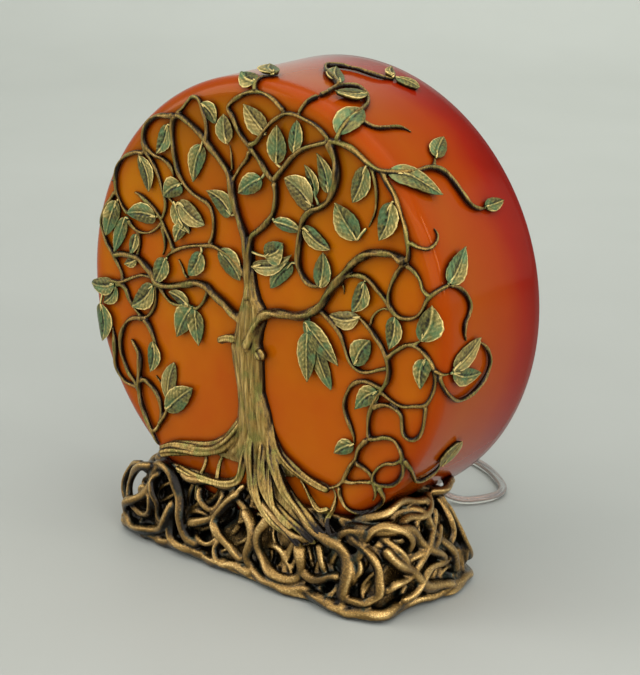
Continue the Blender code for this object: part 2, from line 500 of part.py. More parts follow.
def nearest_knot(place):
    """The point of any vine nearest to a place on the unrolled face."""
    knots = [Vector(p) for _, route in VINES for p in route]
    for _, route in VINES:
        knots += [(Vector(a) + Vector(b)) / 2 for a, b in zip(route, route[1:])]
    return min(knots, key=lambda knot: (knot - Vector(place)).length)


def trunk(group):
    """The trunk and its root sweeps: an outline filled and thickened over the face."""
    line = bpy.data.curves.new("trunk", "CURVE")
    line.dimensions = "2D"
    line.fill_mode = "BOTH"
    line.extrude = TRUNK_HALF * MM
    outline = line.splines.new("POLY")
    outline.points.add(len(TRUNK) - 1)
    for knot, (u, v) in zip(outline.points, TRUNK):
        knot.co = (u * MM, v * MM, 0.0, 1.0)
    outline.use_cyclic_u = True
    made = bpy.data.objects.new("trunk", line)
    group.objects.link(made)
    made.location = to_metres((0, FRONT_Y - TRUNK_HALF - GAP, DRUM_Z))
    made.rotation_euler = (math.pi / 2, 0, 0)
    return baked(made, group)


def joined(name, pieces, group):
    """Put several meshes in one object."""
    shape = bmesh.new()
    for piece in pieces:
        shape.from_mesh(piece.data)
        bpy.data.objects.remove(piece, do_unlink=True)
    return from_bmesh(name, shape, group)


def loose_parts(source):
    """Each connected body of a mesh, as its own bmesh."""
    whole = bmesh.new()
    whole.from_mesh(source.data)
    waiting = set(whole.verts)
    bodies = []
    while waiting:
        front = [waiting.pop()]
        found = set(front)
        while front:
            here = front.pop()
            for edge in here.link_edges:
                other = edge.other_vert(here)
                if other not in found:
                    found.add(other)
                    front.append(other)
        waiting -= found
        rest = whole.copy()
        rest.verts.ensure_lookup_table()
        keep = {vert.index for vert in found}
        bmesh.ops.delete(rest, geom=[v for v in rest.verts if v.index not in keep], context="VERTS")
        rims = [edge for edge in rest.edges if edge.is_boundary]
        bmesh.ops.holes_fill(rest, edges=rims, sides=4)
        bodies.append(rest)
    whole.free()
    return bodies


def tree_relief(parts, guides, look):
    """Unite trunk, vines and leaves, then cut the casting into regional pieces."""
    pieces = [vine(i, width, route, guides) for i, (width, route) in enumerate(VINES)]
    pieces += [leaf(i, *entry, guides) for i, entry in enumerate(LEAVES)]
    first = trunk(guides)
    web = joined("web", pieces, guides)
    network = baked(cut(first, web, "UNION", self_overlap=True), guides)
    bpy.data.objects.remove(web, do_unlink=True)
    reach, front, rear = 200.0, -60.0, 80.0
    low_z, crown_z = DRUM_Z + LOW_CUT, DRUM_Z + CROWN_CUT
    kerfs = [((LEFT_CUT, front, DRUM_Z - 30), (LEFT_CUT + KERF, rear, reach + DRUM_Z)),
             ((RIGHT_CUT, front, DRUM_Z - 30), (RIGHT_CUT + KERF, rear, reach + DRUM_Z)),
             ((-reach, front, low_z), (LEFT_CUT, rear, low_z + KERF)),
             ((RIGHT_CUT, front, low_z), (reach, rear, low_z + KERF)),
             ((LEFT_CUT, front, crown_z), (RIGHT_CUT, rear, crown_z + KERF)),
             ((ROOT_CUT, front, 0), (ROOT_CUT + KERF, 0, DRUM_Z - 60)),
             ((-reach, front, -10), (reach, FRONT_Y + 20, BASE_TOP + FOOT_GAP))]
    for number, (low, high) in enumerate(kerfs):
        network = cut(network, box(f"kerf_{number}", low, high, guides))
    network = baked(network, guides)
    bodies = []
    for shape in loose_parts(network):
        size = shape.calc_volume(signed=True) / MM ** 3
        centre = sum((v.co for v in shape.verts), Vector()) / len(shape.verts) / MM
        bodies.append((size, centre, shape))
    bpy.data.objects.remove(network, do_unlink=True)
    bodies.sort(key=lambda item: -item[0])
    used = {}
    for size, centre, shape in bodies:
        if size < SMALLEST:
            shape.free()
            continue
        region = region_name(centre)
        used[region] = used.get(region, 0) + 1
        name = region if used[region] == 1 else f"{region}_{used[region]}"
        from_bmesh(name, shape, parts, look)


def region_name(centre):
    """Name a relief piece by where its middle lies."""
    u, v, y = centre.x, centre.z - DRUM_Z, centre.y
    if y > FRONT_Y + SIDE_DEPTH:
        return "side_sprig"
    if u < LEFT_CUT:
        return "vines_upper_left" if v > LOW_CUT else "vines_lower_left"
    if u > RIGHT_CUT:
        return "vines_upper_right" if v > LOW_CUT else "vines_lower_right"
    return "crown_branches" if v > CROWN_CUT else "trunk"


def shade(parts, guides, look):
    """The hollow drum, open at the back, with three screw bosses inside its rim."""
    outer = [(0, -FRONT_Y)] + arc((FLAT_R, -FRONT_Y - EDGE_R), EDGE_R, 90, 0, 4) + [(BACK_R, -BACK_Y)]
    inner_edge = arc((FLAT_R, -FRONT_Y - EDGE_R), EDGE_R - WALL, 0, 90, 2)
    inner = [(BACK_R - WALL, -BACK_Y)] + inner_edge + [(0, -FRONT_Y - WALL)]
    made = turned("shade", outer + inner, (0, 0, DRUM_Z), parts, look, segments=60, closed=False)
    made = baked(made, parts)
    for angle in SCREW_ANGLES:
        turn = Matrix.Rotation(math.radians(angle), 4, "Y")
        block = box("boss", (-BOSS_HALF, COVER_FRONT - BOSS_L, SCREW_RING_R - BOSS_HALF),
                    (BOSS_HALF, COVER_FRONT - GAP, BOSS_TOP), guides)
        block.matrix_world = Matrix.Translation(to_metres((0, 0, DRUM_Z))) @ turn
        made = cut(made, block, "UNION")
        middle = screw_place(angle)
        hole = cylinder("boss_hole", middle + Vector((0, -9.5, 0)), middle + Vector((0, 5, 0)), PILOT_R,
                        guides, segments=12)
        made = cut(made, hole)
    return made


def screw_place(angle):
    """Where a cover screw's axis meets the cover's front."""
    a = math.radians(angle)
    return Vector((SCREW_RING_R * math.sin(a), COVER_FRONT, DRUM_Z + SCREW_RING_R * math.cos(a)))


def back_cover(parts, guides, look, steel):
    """The flat disc that closes the back, its vents and its screws."""
    made = cylinder("back_cover", (0, COVER_FRONT, DRUM_Z), (0, COVER_BACK, DRUM_Z), COVER_R, parts,
                    look, segments=60)
    hole = cylinder("socket_hole", (0, 30, SOCKET_Z), (0, 45, SOCKET_Z), SOCKET_HOLE_R, guides)
    made = cut(made, hole)
    for row in range(VENT_ROWS):
        z = DRUM_Z + VENT_FIRST + VENT_PITCH * row
        half = VENT_HALF - 2 * row
        slot = box("vent", (-half, 30, z), (half, 45, z + VENT_HIGH), guides)
        made = cut(made, slot)
    for number, angle in enumerate(SCREW_ANGLES, start=1):
        middle = screw_place(angle)
        hole = cylinder("screw_hole", middle - Vector((0, 5, 0)), middle + Vector((0, 8, 0)), CLEARANCE_R,
                        guides, segments=12)
        made = cut(made, hole)
        head = [(0, 0), (SCREW_R, 0), (SCREW_R, 2 - SCREW_L), (SCREW_HEAD_R, 2 - SCREW_L),
                (SCREW_HEAD_R, 1 - SCREW_L), (2.0, -SCREW_L), (0, -SCREW_L)]
        turned(f"cover_screw_{number}", head, middle + Vector((0, -8.25, 0)), parts, steel,
               segments=12, closed=False)
    return made


def lamp_holder(parts, guides, black, brass, steel):
    """The clip-in holder: sleeve, shell, centre contact and two spring clips."""
    axis = (0, 0, SOCKET_Z)
    sleeve = [(12.4, -24), (12.4, -38.85), (17, -38.85), (17, -41.4), (12.4, -41.4), (12.4, -53),
              (10, -56), (2.7, -56), (2.7, -50), (7.4, -50), (7.4, -24)]
    turned("socket_sleeve", sleeve, axis, parts, black, segments=20)
    shell = [(7.0, -26), (7.0, -46), (6.5, -46), (6.5, -26)]
    turned("socket_shell", shell, axis, parts, brass, segments=20)
    contact = [(0, -46.6), (3.4, -46.6), (3.4, -47.2), (0, -47.2)]
    turned("socket_contact", contact, axis, parts, brass, segments=16, closed=False)
    for side, name in ((-1, "socket_clip_left"), (1, "socket_clip_right")):
        inner, outer = sorted((side * 12.75, side * 13.2))
        box(name, (inner, 22, SOCKET_Z - 3), (outer, 35.1, SOCKET_Z + 3), parts, steel)


def bulb(parts, glass, brass, steel):
    """A small candle-base night-light bulb on the holder's axis."""
    axis = (0, 0, SOCKET_Z)
    outside = [(4.6, -27.4), (5.0, -22), (7.0, -14), (9.6, -5), (10.9, 4), (10.2, 11), (7.4, 17),
               (3.4, 20.4), (0, 21)]
    inside = [(r - 0.5 if r > 0.6 else 0, h - (0.5 if h > 12 else 0)) for r, h in outside]
    turned("bulb_glass", outside[::-1] + inside, axis, parts, glass, segments=16, closed=False)
    base = [(5.0, -22.6), (6.0, -25.5), (6.0, -42), (2.6, -44.4), (2.2, -44.4), (2.2, -42.4),
            (5.4, -41), (5.4, -26)]
    turned("bulb_base", base, axis, parts, brass, segments=16)
    tip = [(0, -43.2), (1.8, -43.2), (1.8, -45.6), (1.0, -46.2), (0, -46.2)]
    turned("bulb_contact", tip, axis, parts, steel, segments=12, closed=False)
    stem = [(0, -4), (0.5, -4), (0.9, -14), (2.0, -22), (3.0, -27.5), (0, -27.5)]
    turned("bulb_stem", stem, axis, parts, glass, segments=12, closed=False)


def cord(parts, look, black):
    """The cord's free stretches, its coil, the tie and the strain relief."""
    def even(_):
        return CORD_STEP
    relief = [(0, -56.4), (4.4, -56.4), (4.4, -59), (3.0, -78), (0, -78)]
    turned("strain_relief", relief, (0, 0, SOCKET_Z), parts, black, segments=16, closed=False)
    tube("cord_lead", smooth_route(LEAD_ROUTE, even), CORD_D / 2, parts, look, resolution=2)
    tube("cord_link", smooth_route(LINK_ROUTE, even), CORD_D / 2, parts, look, resolution=2)
    tube("cord_tail", smooth_route(TAIL_ROUTE, even), CORD_D / 2, parts, look, resolution=2)
    mid = (COIL_LOW + COIL_HIGH) / 2
    half = (COIL_HIGH - COIL_LOW) / 2
    out, near = COIL_R + COIL_HALF, COIL_R - COIL_HALF
    ring = [(out - 3, mid + half), (out, mid + half - 3), (out, mid - half + 3), (out - 3, mid - half),
            (near + 3, mid - half), (near, mid - half + 3), (near, mid + half - 3), (near + 3, mid + half)]
    turned("cord_coil", ring, (COIL_X, COIL_Y, 0), parts, look, segments=24, along_y=False)


def coil_tie(parts, guides, look):
    """A strip wrapped once round the coil, on the side nearest the lamp."""
    y_out, y_in = COIL_Y - COIL_R - COIL_HALF, COIL_Y - COIL_R + COIL_HALF
    outer = box("coil_tie", (COIL_X - 3, y_out - 1.7, COIL_LOW - 1.6),
                (COIL_X + 3, y_in + 1.7, COIL_HIGH + 1.5), parts, look)
    inner = box("tie_inside", (COIL_X - 4, y_out - 0.4, COIL_LOW - 0.4),
                (COIL_X + 4, y_in + 0.7, COIL_HIGH + 0.4), guides)
    return cut(outer, inner)


def switch(parts, guides, body, steel):
    """The in-line switch: two halves, a thumb wheel with stub axles, and a screw."""
    x0, x1 = SWITCH_X - SWITCH_L / 2, SWITCH_X + SWITCH_L / 2
    y0, y1 = SWITCH_Y - SWITCH_W / 2, SWITCH_Y + SWITCH_W / 2
    lower = box("switch_lower", (x0, y0, 0.3), (x1, y1, SWITCH_MID - 0.2), parts, body)
    upper = box("switch_upper", (x0, y0, SWITCH_MID + 0.2), (x1, y1, 12.6), parts, body)
    wheel_slot = box("wheel_slot", (SWITCH_X - ROLLER_R - 0.6, SWITCH_Y - ROLLER_T / 2 - 0.5, 2.2),
                     (SWITCH_X + ROLLER_R + 0.6, SWITCH_Y + ROLLER_T / 2 + 0.5, 20), guides)
    stub_slot = box("stub_slot", (SWITCH_X - 1.7, SWITCH_Y - 5.0, 2.2),
                    (SWITCH_X + 1.7, SWITCH_Y + 5.0, ROLLER_Z + 1.7), guides)
    screw_x = x1 - 8
    head_seat = cylinder("head_seat", (screw_x, SWITCH_Y, 10.6), (screw_x, SWITCH_Y, 14), 2.9, guides,
                         segments=16)
    shank_hole = cylinder("shank_hole", (screw_x, SWITCH_Y, 2.6), (screw_x, SWITCH_Y, 12), 1.6, guides,
                          segments=12)
    for half in (lower, upper):
        for tool in (wheel_slot, stub_slot, shank_hole):
            cut(half, tool)
    cut(upper, head_seat)
    screw = [(0, 12.4), (2.4, 12.4), (2.4, 11.0), (1.2, 11.0), (1.2, 3.2), (0, 3.2)]
    turned("switch_screw", screw, (screw_x, SWITCH_Y, 0), parts, steel, segments=12, closed=False,
           along_y=False)
    half_t = ROLLER_T / 2
    wheel = [(0, 4.6), (1.25, 4.6), (1.25, half_t), (ROLLER_R - 0.5, half_t), (ROLLER_R, half_t - 0.5),
             (ROLLER_R, 0.5 - half_t), (ROLLER_R - 0.5, -half_t), (1.25, -half_t), (1.25, -4.6), (0, -4.6)]
    turned("switch_wheel", wheel, (SWITCH_X, SWITCH_Y, ROLLER_Z), parts, body, segments=16, closed=False)


def plug(parts, body, brass):
    """A flat two-blade plug lying on its broad side, its blades pointing to +Y."""
    box("plug_body", (PLUG_X - PLUG_HALF_W, PLUG_Y0, PLUG_LOW), (PLUG_X + PLUG_HALF_W, PLUG_Y1, PLUG_HIGH),
        parts, body, bevel=2.0)
    start = PLUG_Y1 + GAP
    box("plug_blade_line", (PLUG_X - BLADE_FAR, start, PLUG_MID - LINE_HALF),
        (PLUG_X - BLADE_NEAR, start + BLADE_L, PLUG_MID + LINE_HALF), parts, brass)
    box("plug_blade_neutral", (PLUG_X + BLADE_NEAR, start, PLUG_MID - NEUTRAL_HALF),
        (PLUG_X + BLADE_FAR, start + BLADE_L, PLUG_MID + NEUTRAL_HALF), parts, brass)


def base(parts, guides, look):
    """The root base: a stepped core, raised roots over it, and the drum's trough cut out."""
    shape = bmesh.new()
    rings = []
    for height, outline in BASE_RINGS:
        rings.append([shape.verts.new(to_metres((x, y, height))) for x, y in outline])
    shape.faces.new(rings[0])
    shape.faces.new(rings[-1])
    for lower, upper in zip(rings, rings[1:]):
        for i, start in enumerate(lower):
            j = (i + 1) % len(lower)
            shape.faces.new((start, lower[j], upper[j], upper[i]))
    made = from_bmesh("root_base", shape, parts, look)
    pieces = []
    for number, (radius, route) in enumerate(ROOTS):
        points = smooth_route(route, lambda _: ROOT_STEP)
        pieces.append(tube("root", points, radius + 0.03 * (number % 4), guides))
    roots = joined("roots", pieces, guides)
    made = cut(made, roots, "UNION", self_overlap=True)
    edge = arc((FLAT_R, -FRONT_Y - EDGE_R), EDGE_R + 2 * GAP, 90, 0, 5)
    trough = [(0, -FRONT_Y + 2 * GAP)] + edge + [(BACK_R + 0.8, -60), (0, -60)]
    drum = turned("trough", trough, (0, 0, DRUM_Z), guides, None, segments=72, closed=False)
    made = cut(made, drum)
    floor = box("below_felt", (-130, -90, -30), (130, 90, BASE_BOTTOM), guides)
    made = cut(made, floor)
    return baked(made, parts)


def felt_sheet(parts, look):
    """The felt under the base, a little inside its outline."""
    shape = bmesh.new()
    outline = [(x * 0.95, y * 0.93) for x, y in BASE_RINGS[0][1]]
    low = [shape.verts.new(to_metres((x, y, 0))) for x, y in outline]
    high = [shape.verts.new(to_metres((x, y, FELT_T))) for x, y in outline]
    shape.faces.new(low)
    shape.faces.new(high)
    for i, start in enumerate(low):
        j = (i + 1) % len(low)
        shape.faces.new((start, low[j], high[j], high[i]))
    return from_bmesh("felt_sheet", shape, parts, look)


def main():
    """Build the lamp."""
    clear_scene()
    parts = new_collection("tree_lamp")
    guides = new_collection("cutters")
    amber = material("amber_shade", (0.62, 0.13, 0.01), 0.12)
    bronze = material("antique_bronze", (0.36, 0.27, 0.12), 0.38, 0.85)
    dark = material("dark_bronze", (0.20, 0.13, 0.07), 0.4, 0.8)
    black = material("black_plastic", (0.02, 0.02, 0.02), 0.45)
    board = material("cover_board", (0.05, 0.04, 0.035), 0.7)
    brass = material("brass", (0.75, 0.56, 0.25), 0.3, 1.0)
    steel = material("steel", (0.6, 0.6, 0.6), 0.35, 1.0)
    glass = material("bulb_glass", (0.95, 0.95, 0.95), 0.05, 0.0, 0.3)
    clear = material("clear_cord", (0.75, 0.73, 0.66), 0.2, 0.0, 0.6)
    felt = material("felt", (0.03, 0.05, 0.03), 0.95)
    shade(parts, guides, amber)
    tree_relief(parts, guides, bronze)
    base(parts, guides, dark)
    felt_sheet(parts, felt)
    back_cover(parts, guides, board, steel)
    lamp_holder(parts, guides, black, brass, steel)
    bulb(parts, glass, brass, steel)
    cord(parts, clear, black)
    coil_tie(parts, guides, black)
    switch(parts, guides, clear, steel)
    plug(parts, clear, brass)


main()
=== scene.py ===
"""Looks for the tree-of-life drum lamp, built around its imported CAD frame.

Lengths below are millimetres in the CAD's frame and become metres when a mesh is made. The tree is
laid out on the unrolled shade: u to the right and v up from the drum's centre, along its surface.
"""
import math

import bpy
import numpy as np
from mathutils import Matrix, Vector


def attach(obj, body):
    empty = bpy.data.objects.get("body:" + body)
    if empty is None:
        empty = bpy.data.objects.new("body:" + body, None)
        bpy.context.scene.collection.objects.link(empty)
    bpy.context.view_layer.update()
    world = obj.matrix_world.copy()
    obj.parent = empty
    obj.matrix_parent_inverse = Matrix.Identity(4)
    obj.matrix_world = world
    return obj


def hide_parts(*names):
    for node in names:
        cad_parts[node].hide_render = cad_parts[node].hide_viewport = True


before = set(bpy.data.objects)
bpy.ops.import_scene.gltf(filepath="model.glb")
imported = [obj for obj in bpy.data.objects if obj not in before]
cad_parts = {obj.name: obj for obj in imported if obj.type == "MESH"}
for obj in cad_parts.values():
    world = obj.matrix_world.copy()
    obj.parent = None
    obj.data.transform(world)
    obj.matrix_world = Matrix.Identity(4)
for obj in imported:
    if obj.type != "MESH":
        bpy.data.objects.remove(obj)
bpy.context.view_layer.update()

MM = 0.001

# drum, as in the CAD
DRUM_Z = 135.0
FRONT_Y, BACK_Y = -33.5, 42.5
FRONT_R, BACK_R = 110.5, 112.0
EDGE_R, WALL = 9.0, 3.0
FLAT_R = FRONT_R - EDGE_R
ARC = EDGE_R * math.pi / 2
SIDE = BACK_Y - FRONT_Y - EDGE_R

# cord, as in the CAD
CORD_D = 4.6
COIL_X, COIL_Y = -88.0, 112.0
LEAD = [(0, 78.4, 112), (0, 84, 112), (0.2, 90.5, 110.6), (0.6, 96.2, 106.4), (1.2, 100.2, 99.6),
        (1.8, 101.6, 91), (2.4, 101.2, 78), (3.2, 99.4, 62), (4.4, 97.2, 46), (6.4, 96.4, 31),
        (9.4, 97.4, 19.4), (14, 99.8, 10.6), (20, 103.4, 5), (26.6, 108.2, 2.8), (32, 115, 2.6),
        (35.5, 123, 2.6), (35.5, 131, 2.6), (31.5, 139, 2.6), (23, 147, 2.6), (12, 155, 2.6), (0, 161, 2.6),
        (-12, 163, 3.2), (-24, 161.5, 5.6), (-33.6, 160, 6.4), (-58, 160, 6.4)]
LINK = [(-82.4, 160, 6.4), (-92, 158.8, 6.4), (-103, 154, 6.6), (-110.5, 146, 7.2)]
TAIL = [(-64, 84.9, 2.8), (-55.5, 86.6, 2.7), (-48, 90.4, 4.0), (-43, 96.2, 6.0), (-41.3, 100, 6.6),
        (-41, 104.2, 6.8), (-41, 110, 6.8)]


def smooth(points, step):
    """Evenly spaced points on a smooth curve through the given ones."""
    p = np.array(points, float)
    p = np.vstack([2 * p[0] - p[1], p, 2 * p[-1] - p[-2]])
    t = np.linspace(0, 1, 16, endpoint=False)[:, None]
    runs = []
    for a, b, c, d in zip(p, p[1:], p[2:], p[3:]):
        runs.append(0.5 * (2 * b + (c - a) * t + (2 * a - 5 * b + 4 * c - d) * t * t
                           + (3 * b - a - 3 * c + d) * t ** 3))
    fine = np.vstack(runs + [p[-2:-1]])
    reach = np.concatenate([[0], np.cumsum(np.linalg.norm(np.diff(fine, axis=0), axis=1))])
    even = np.linspace(0, reach[-1], max(3, int(round(reach[-1] / step)) + 1))
    return np.column_stack([np.interp(even, reach, column) for column in fine.T])


def unit(vectors):
    """Vectors scaled to length one."""
    return vectors / np.maximum(np.linalg.norm(vectors, axis=-1, keepdims=True), 1e-9)


def ease(value, low, high):
    """A smooth step from 0 at low to 1 at high."""
    t = np.clip((value - low) / (high - low), 0, 1)
    return t * t * (3 - 2 * t)


def on_drum(u, v, lift):
    """Points above the unrolled shade, with the surface's normals there."""
    u, v, lift = np.broadcast_arrays(np.asarray(u, float), v, lift)
    reach = np.hypot(u, v)
    across, upward = u / np.maximum(reach, 1e-9), v / np.maximum(reach, 1e-9)
    lean = np.clip((reach - FLAT_R) / EDGE_R, 0, math.pi / 2)
    back = np.maximum(reach - FLAT_R - ARC, 0)
    on_flat = reach < FLAT_R
    radius = np.where(on_flat, reach, FLAT_R + EDGE_R * np.sin(lean) + (BACK_R - FRONT_R) * back / SIDE)
    y = np.where(on_flat, FRONT_Y, FRONT_Y + EDGE_R * (1 - np.cos(lean)) + back)
    normal = np.stack([np.sin(lean) * across, -np.cos(lean), np.sin(lean) * upward], -1)
    point = np.stack([radius * across, y, DRUM_Z + radius * upward], -1)
    return point + normal * lift[..., None], normal


def placed(name, data):
    """A new object in the scene."""
    made = bpy.data.objects.new(name, data)
    bpy.context.scene.collection.objects.link(made)
    return made


# ------------------------------------------------------------------ materials

def new_material(name):
    """An empty node material with its Principled shader."""
    made = bpy.data.materials.new(name)
    made.use_nodes = True
    return made, made.node_tree, made.node_tree.nodes["Principled BSDF"]


def fill(tree, made, **inputs):
    """Set or link some of a node's inputs; underscores in names stand for spaces, and _1 is input 1."""
    for name, value in inputs.items():
        socket = made.inputs[int(name[1:])] if name[0] == "_" else made.inputs[name.replace("_", " ")]
        if isinstance(value, bpy.types.NodeSocket):
            tree.links.new(value, socket)
        else:
            socket.default_value = value
    return made


def node(tree, kind, **inputs):
    """A new node with some of its inputs set or linked."""
    return fill(tree, tree.nodes.new(kind), **inputs)


def maths(tree, operation, a, b=0.0, clamp=False):
    """One Math node's output."""
    made = node(tree, "ShaderNodeMath", _0=a, _1=b)
    made.operation = operation
    made.use_clamp = clamp
    return made.outputs[0]


def mixed(tree, factor, a, b, blend="MIX"):
    """Two colours mixed by a factor."""
    made = tree.nodes.new("ShaderNodeMix")
    made.data_type = "RGBA"
    made.blend_type = blend
    for socket, value in ((made.inputs["Factor"], factor), (made.inputs[6], a), (made.inputs[7], b)):
        if isinstance(value, bpy.types.NodeSocket):
            tree.links.new(value, socket)
        else:
            socket.default_value = value if not isinstance(value, tuple) else (*value[:3], 1.0)
    return made.outputs[2]


def ramp(tree, factor, *stops):
    """A colour ramp; each stop is a place and a colour."""
    made = tree.nodes.new("ShaderNodeValToRGB")
    elements = made.color_ramp.elements
    while len(elements) < len(stops):
        elements.new(0.5)
    for element, (place, colour) in zip(elements, stops):
        element.position = place
        element.color = (*colour, 1.0)
    tree.links.new(factor, made.inputs[0])
    return made.outputs[0]


def noise(tree, scale, detail=3.0, vector=None, rough=0.55):
    """Noise in object space; the scale is per metre."""
    if vector is None:
        vector = tree.nodes.new("ShaderNodeTexCoord").outputs["Object"]
    made = node(tree, "ShaderNodeTexNoise", Vector=vector, Scale=scale, Detail=detail, Roughness=rough)
    return made.outputs["Fac"]


def bump(tree, height, distance, strength=1.0):
    """A bump normal; distance in metres."""
    return node(tree, "ShaderNodeBump", Height=height, Distance=distance, Strength=strength).outputs[0]


def spread(tree, value, low, high, to_low=0.0, to_high=1.0):
    """A value mapped from one range to another, clamped."""
    made = node(tree, "ShaderNodeMapRange", _0=value, _1=low, _2=high, _3=to_low, _4=to_high)
    return made.outputs[0]


def attribute(tree, name, output="Fac"):
    """A per-vertex value of the piece."""
    made = tree.nodes.new("ShaderNodeAttribute")
    made.attribute_name = name
    return made.outputs[output]


def openness(tree, reach):
    """How open a place is within a reach in metres: near 0 in a cleft, 1 in the open."""
    made = node(tree, "ShaderNodeAmbientOcclusion", Distance=reach)
    made.samples = 6
    return made.outputs["AO"]


def painted_metal(name, dark, middle, light, patina, patina_share, rough=(0.28, 0.5), gold_at=0.62,
                  streaks=0.30, patina_low=0.25, metallic=0.5, coat=0.0, shelter_reach=4.0, patina_high=0.98):
    """Antique metallic paint: dark in the hollows, rubbed bright on the crests, tinted in patches; the
    hollows are also darkened as painted shade, and the wear value carries painted highlight and shade.
    """
    made, tree, shader = new_material(name)
    streak = noise(tree, 1.25, 4, attribute(tree, "flow", "Vector"), 0.65)
    # Clefts are darkened through the occlusion mask: painted shade where the relief crowds together, on top
    # of the paint's own dark wash.
    open_air = spread(tree, openness(tree, shelter_reach * MM), 0.15, 0.80)
    wear_light_shade = maths(tree, "ADD", attribute(tree, "crest"), spread(tree, streak, 0.3, 0.7, -streaks, streaks))
    wear_light_shade = maths(tree, "MULTIPLY", wear_light_shade, open_air, clamp=True)
    half_tone = tuple((p + 2 * q) / 3 for p, q in zip(middle, dark))
    colour = ramp(tree, wear_light_shade, (0.08, dark), (0.55 * gold_at, half_tone), (gold_at, middle),
                  ((1 + 2 * gold_at) / 3, tuple((4 * p + q) / 5 for p, q in zip(middle, light))),
                  (1.0, light))
    patch = spread(tree, noise(tree, 130, 3), 0.5 - 0.06 * patina_share, 0.66 - 0.06 * patina_share)
    patch = maths(tree, "MULTIPLY", patch, patina_share)
    patch = maths(tree, "MULTIPLY", patch, spread(tree, wear_light_shade, patina_low, patina_low + 0.2))
    patch = maths(tree, "MULTIPLY", patch, spread(tree, wear_light_shade, patina_high, patina_high - 0.23))
    colour = mixed(tree, patch, colour, patina)
    fine = maths(tree, "ADD", noise(tree, 1500, 3), maths(tree, "MULTIPLY", streak, 2.0))
    fill(tree, shader, Base_Color=colour, Roughness=spread(tree, streak, 0.3, 0.7, *rough),
         Metallic=metallic, Coat_Weight=coat, Coat_Roughness=0.22, Normal=bump(tree, fine, 0.00016, 0.8))
    return made


def amber_glass():
    """Glossy poured amber: orange on the face, redder in the round and deep red at the back."""
    made, tree, shader = new_material("amber_glass")
    place = tree.nodes.new("ShaderNodeTexCoord").outputs["Object"]
    x, y, z = node(tree, "ShaderNodeSeparateXYZ", Vector=place).outputs
    height = maths(tree, "SUBTRACT", z, DRUM_Z * MM)
    reach = maths(tree, "SQRT", maths(tree, "ADD", maths(tree, "MULTIPLY", x, x),
                                      maths(tree, "MULTIPLY", height, height)))
    cloud = spread(tree, noise(tree, 14, 3), 0.3, 0.7, -0.07, 0.07)
    depth = maths(tree, "ADD", spread(tree, y, -0.034, 0.0425), cloud, clamp=True)
    side = ramp(tree, depth, (0.0, (0.30, 0.036, 0.001)), (0.3, (0.30, 0.052, 0.001)),
                (0.62, (0.28, 0.030, 0.001)), (0.8, (0.23, 0.008, 0.001)), (1.0, (0.15, 0.002, 0.001)))
    mottled = spread(tree, noise(tree, 15, 4), 0.34, 0.66)
    face = ramp(tree, mottled, (0.0, (0.37, 0.066, 0.001)), (0.5, (0.41, 0.102, 0.001)),
                (1.0, (0.45, 0.145, 0.001)))
    high = spread(tree, height, 0.03, 0.085, 0.0, 0.75)
    face = mixed(tree, high, face, (0.24, 0.078, 0.002))
    low = spread(tree, height, 0.035, -0.075, 0.0, 0.55)
    face = mixed(tree, low, face, (0.38, 0.068, 0.003))
    rounding = spread(tree, reach, 0.0975, 0.1085)
    colour = mixed(tree, rounding, face, side)
    # Painted shade: the amber is darkened to deep red where the vines and leaves stand close over it, as
    # their contact shadow.
    shade = spread(tree, openness(tree, 0.0032), 0.88, 0.30, 0.0, 0.9)
    colour = mixed(tree, shade, colour, (0.085, 0.006, 0.001))
    ripple = maths(tree, "ADD", noise(tree, 55, 2), maths(tree, "MULTIPLY", noise(tree, 190, 2), 0.12))
    fill(tree, shader, Base_Color=colour, Roughness=0.14, IOR=1.5, Specular_IOR_Level=0.2,
         Specular_Tint=(1.0, 0.35, 0.04, 1.0), Subsurface_Weight=0.08,
         Subsurface_Radius=(1.0, 0.25, 0.05), Subsurface_Scale=0.004, Coat_Weight=0.10, Coat_IOR=1.4,
         Coat_Roughness=0.04, Coat_Normal=bump(tree, ripple, 0.0007, 0.8))
    return made


def plastic(name, colour, rough, scale=900, grain=0.00005, coat=0.0, darker=0.75):
    """Moulded plastic with a fine texture."""
    made, tree, shader = new_material(name)
    grains = noise(tree, scale, 3)
    shaded = tuple(c * darker for c in colour)
    fill(tree, shader, Base_Color=ramp(tree, grains, (0.3, shaded), (0.7, colour)),
         Roughness=spread(tree, grains, 0.3, 0.7, rough * 0.85, rough * 1.15),
         Normal=bump(tree, grains, grain), Coat_Weight=coat)
    return made


def metal(name, colour, rough, scale=1200):
    """Plain plated metal with faint scuffs."""
    made, tree, shader = new_material(name)
    scuffs = noise(tree, scale, 4)
    dull = tuple(c * 0.7 for c in colour)
    fill(tree, shader, Base_Color=ramp(tree, scuffs, (0.35, dull), (0.6, colour)),
         Roughness=spread(tree, scuffs, 0.3, 0.7, rough * 0.7, rough * 1.4), Metallic=1.0)
    return made


def clear_vinyl():
    """Soft clear vinyl, a little cloudy."""
    made, tree, shader = new_material("clear_vinyl")
    haze = noise(tree, 700, 3)
    fill(tree, shader, Base_Color=ramp(tree, haze, (0.3, (0.80, 0.79, 0.74)), (0.7, (0.93, 0.93, 0.90))),
         Roughness=spread(tree, haze, 0.3, 0.7, 0.10, 0.22), Transmission_Weight=0.82, IOR=1.42)
    return made


def felt_cloth():
    """Dark green pressed felt."""
    made, tree, shader = new_material("felt_cloth")
    fuzz = noise(tree, 2600, 5, rough=0.7)
    fill(tree, shader, Base_Color=ramp(tree, fuzz, (0.3, (0.012, 0.022, 0.012)), (0.7, (0.045, 0.07, 0.045))),
         Roughness=0.95, Sheen_Weight=0.4, Normal=bump(tree, fuzz, 0.0004))
    return made


def clear_glass():
    """Thin clear bulb glass."""
    made, tree, shader = new_material("clear_glass")
    streak = noise(tree, 160, 2)
    fill(tree, shader, Roughness=spread(tree, streak, 0.3, 0.7, 0.01, 0.04), Transmission_Weight=1.0,
         IOR=1.45)
    return made


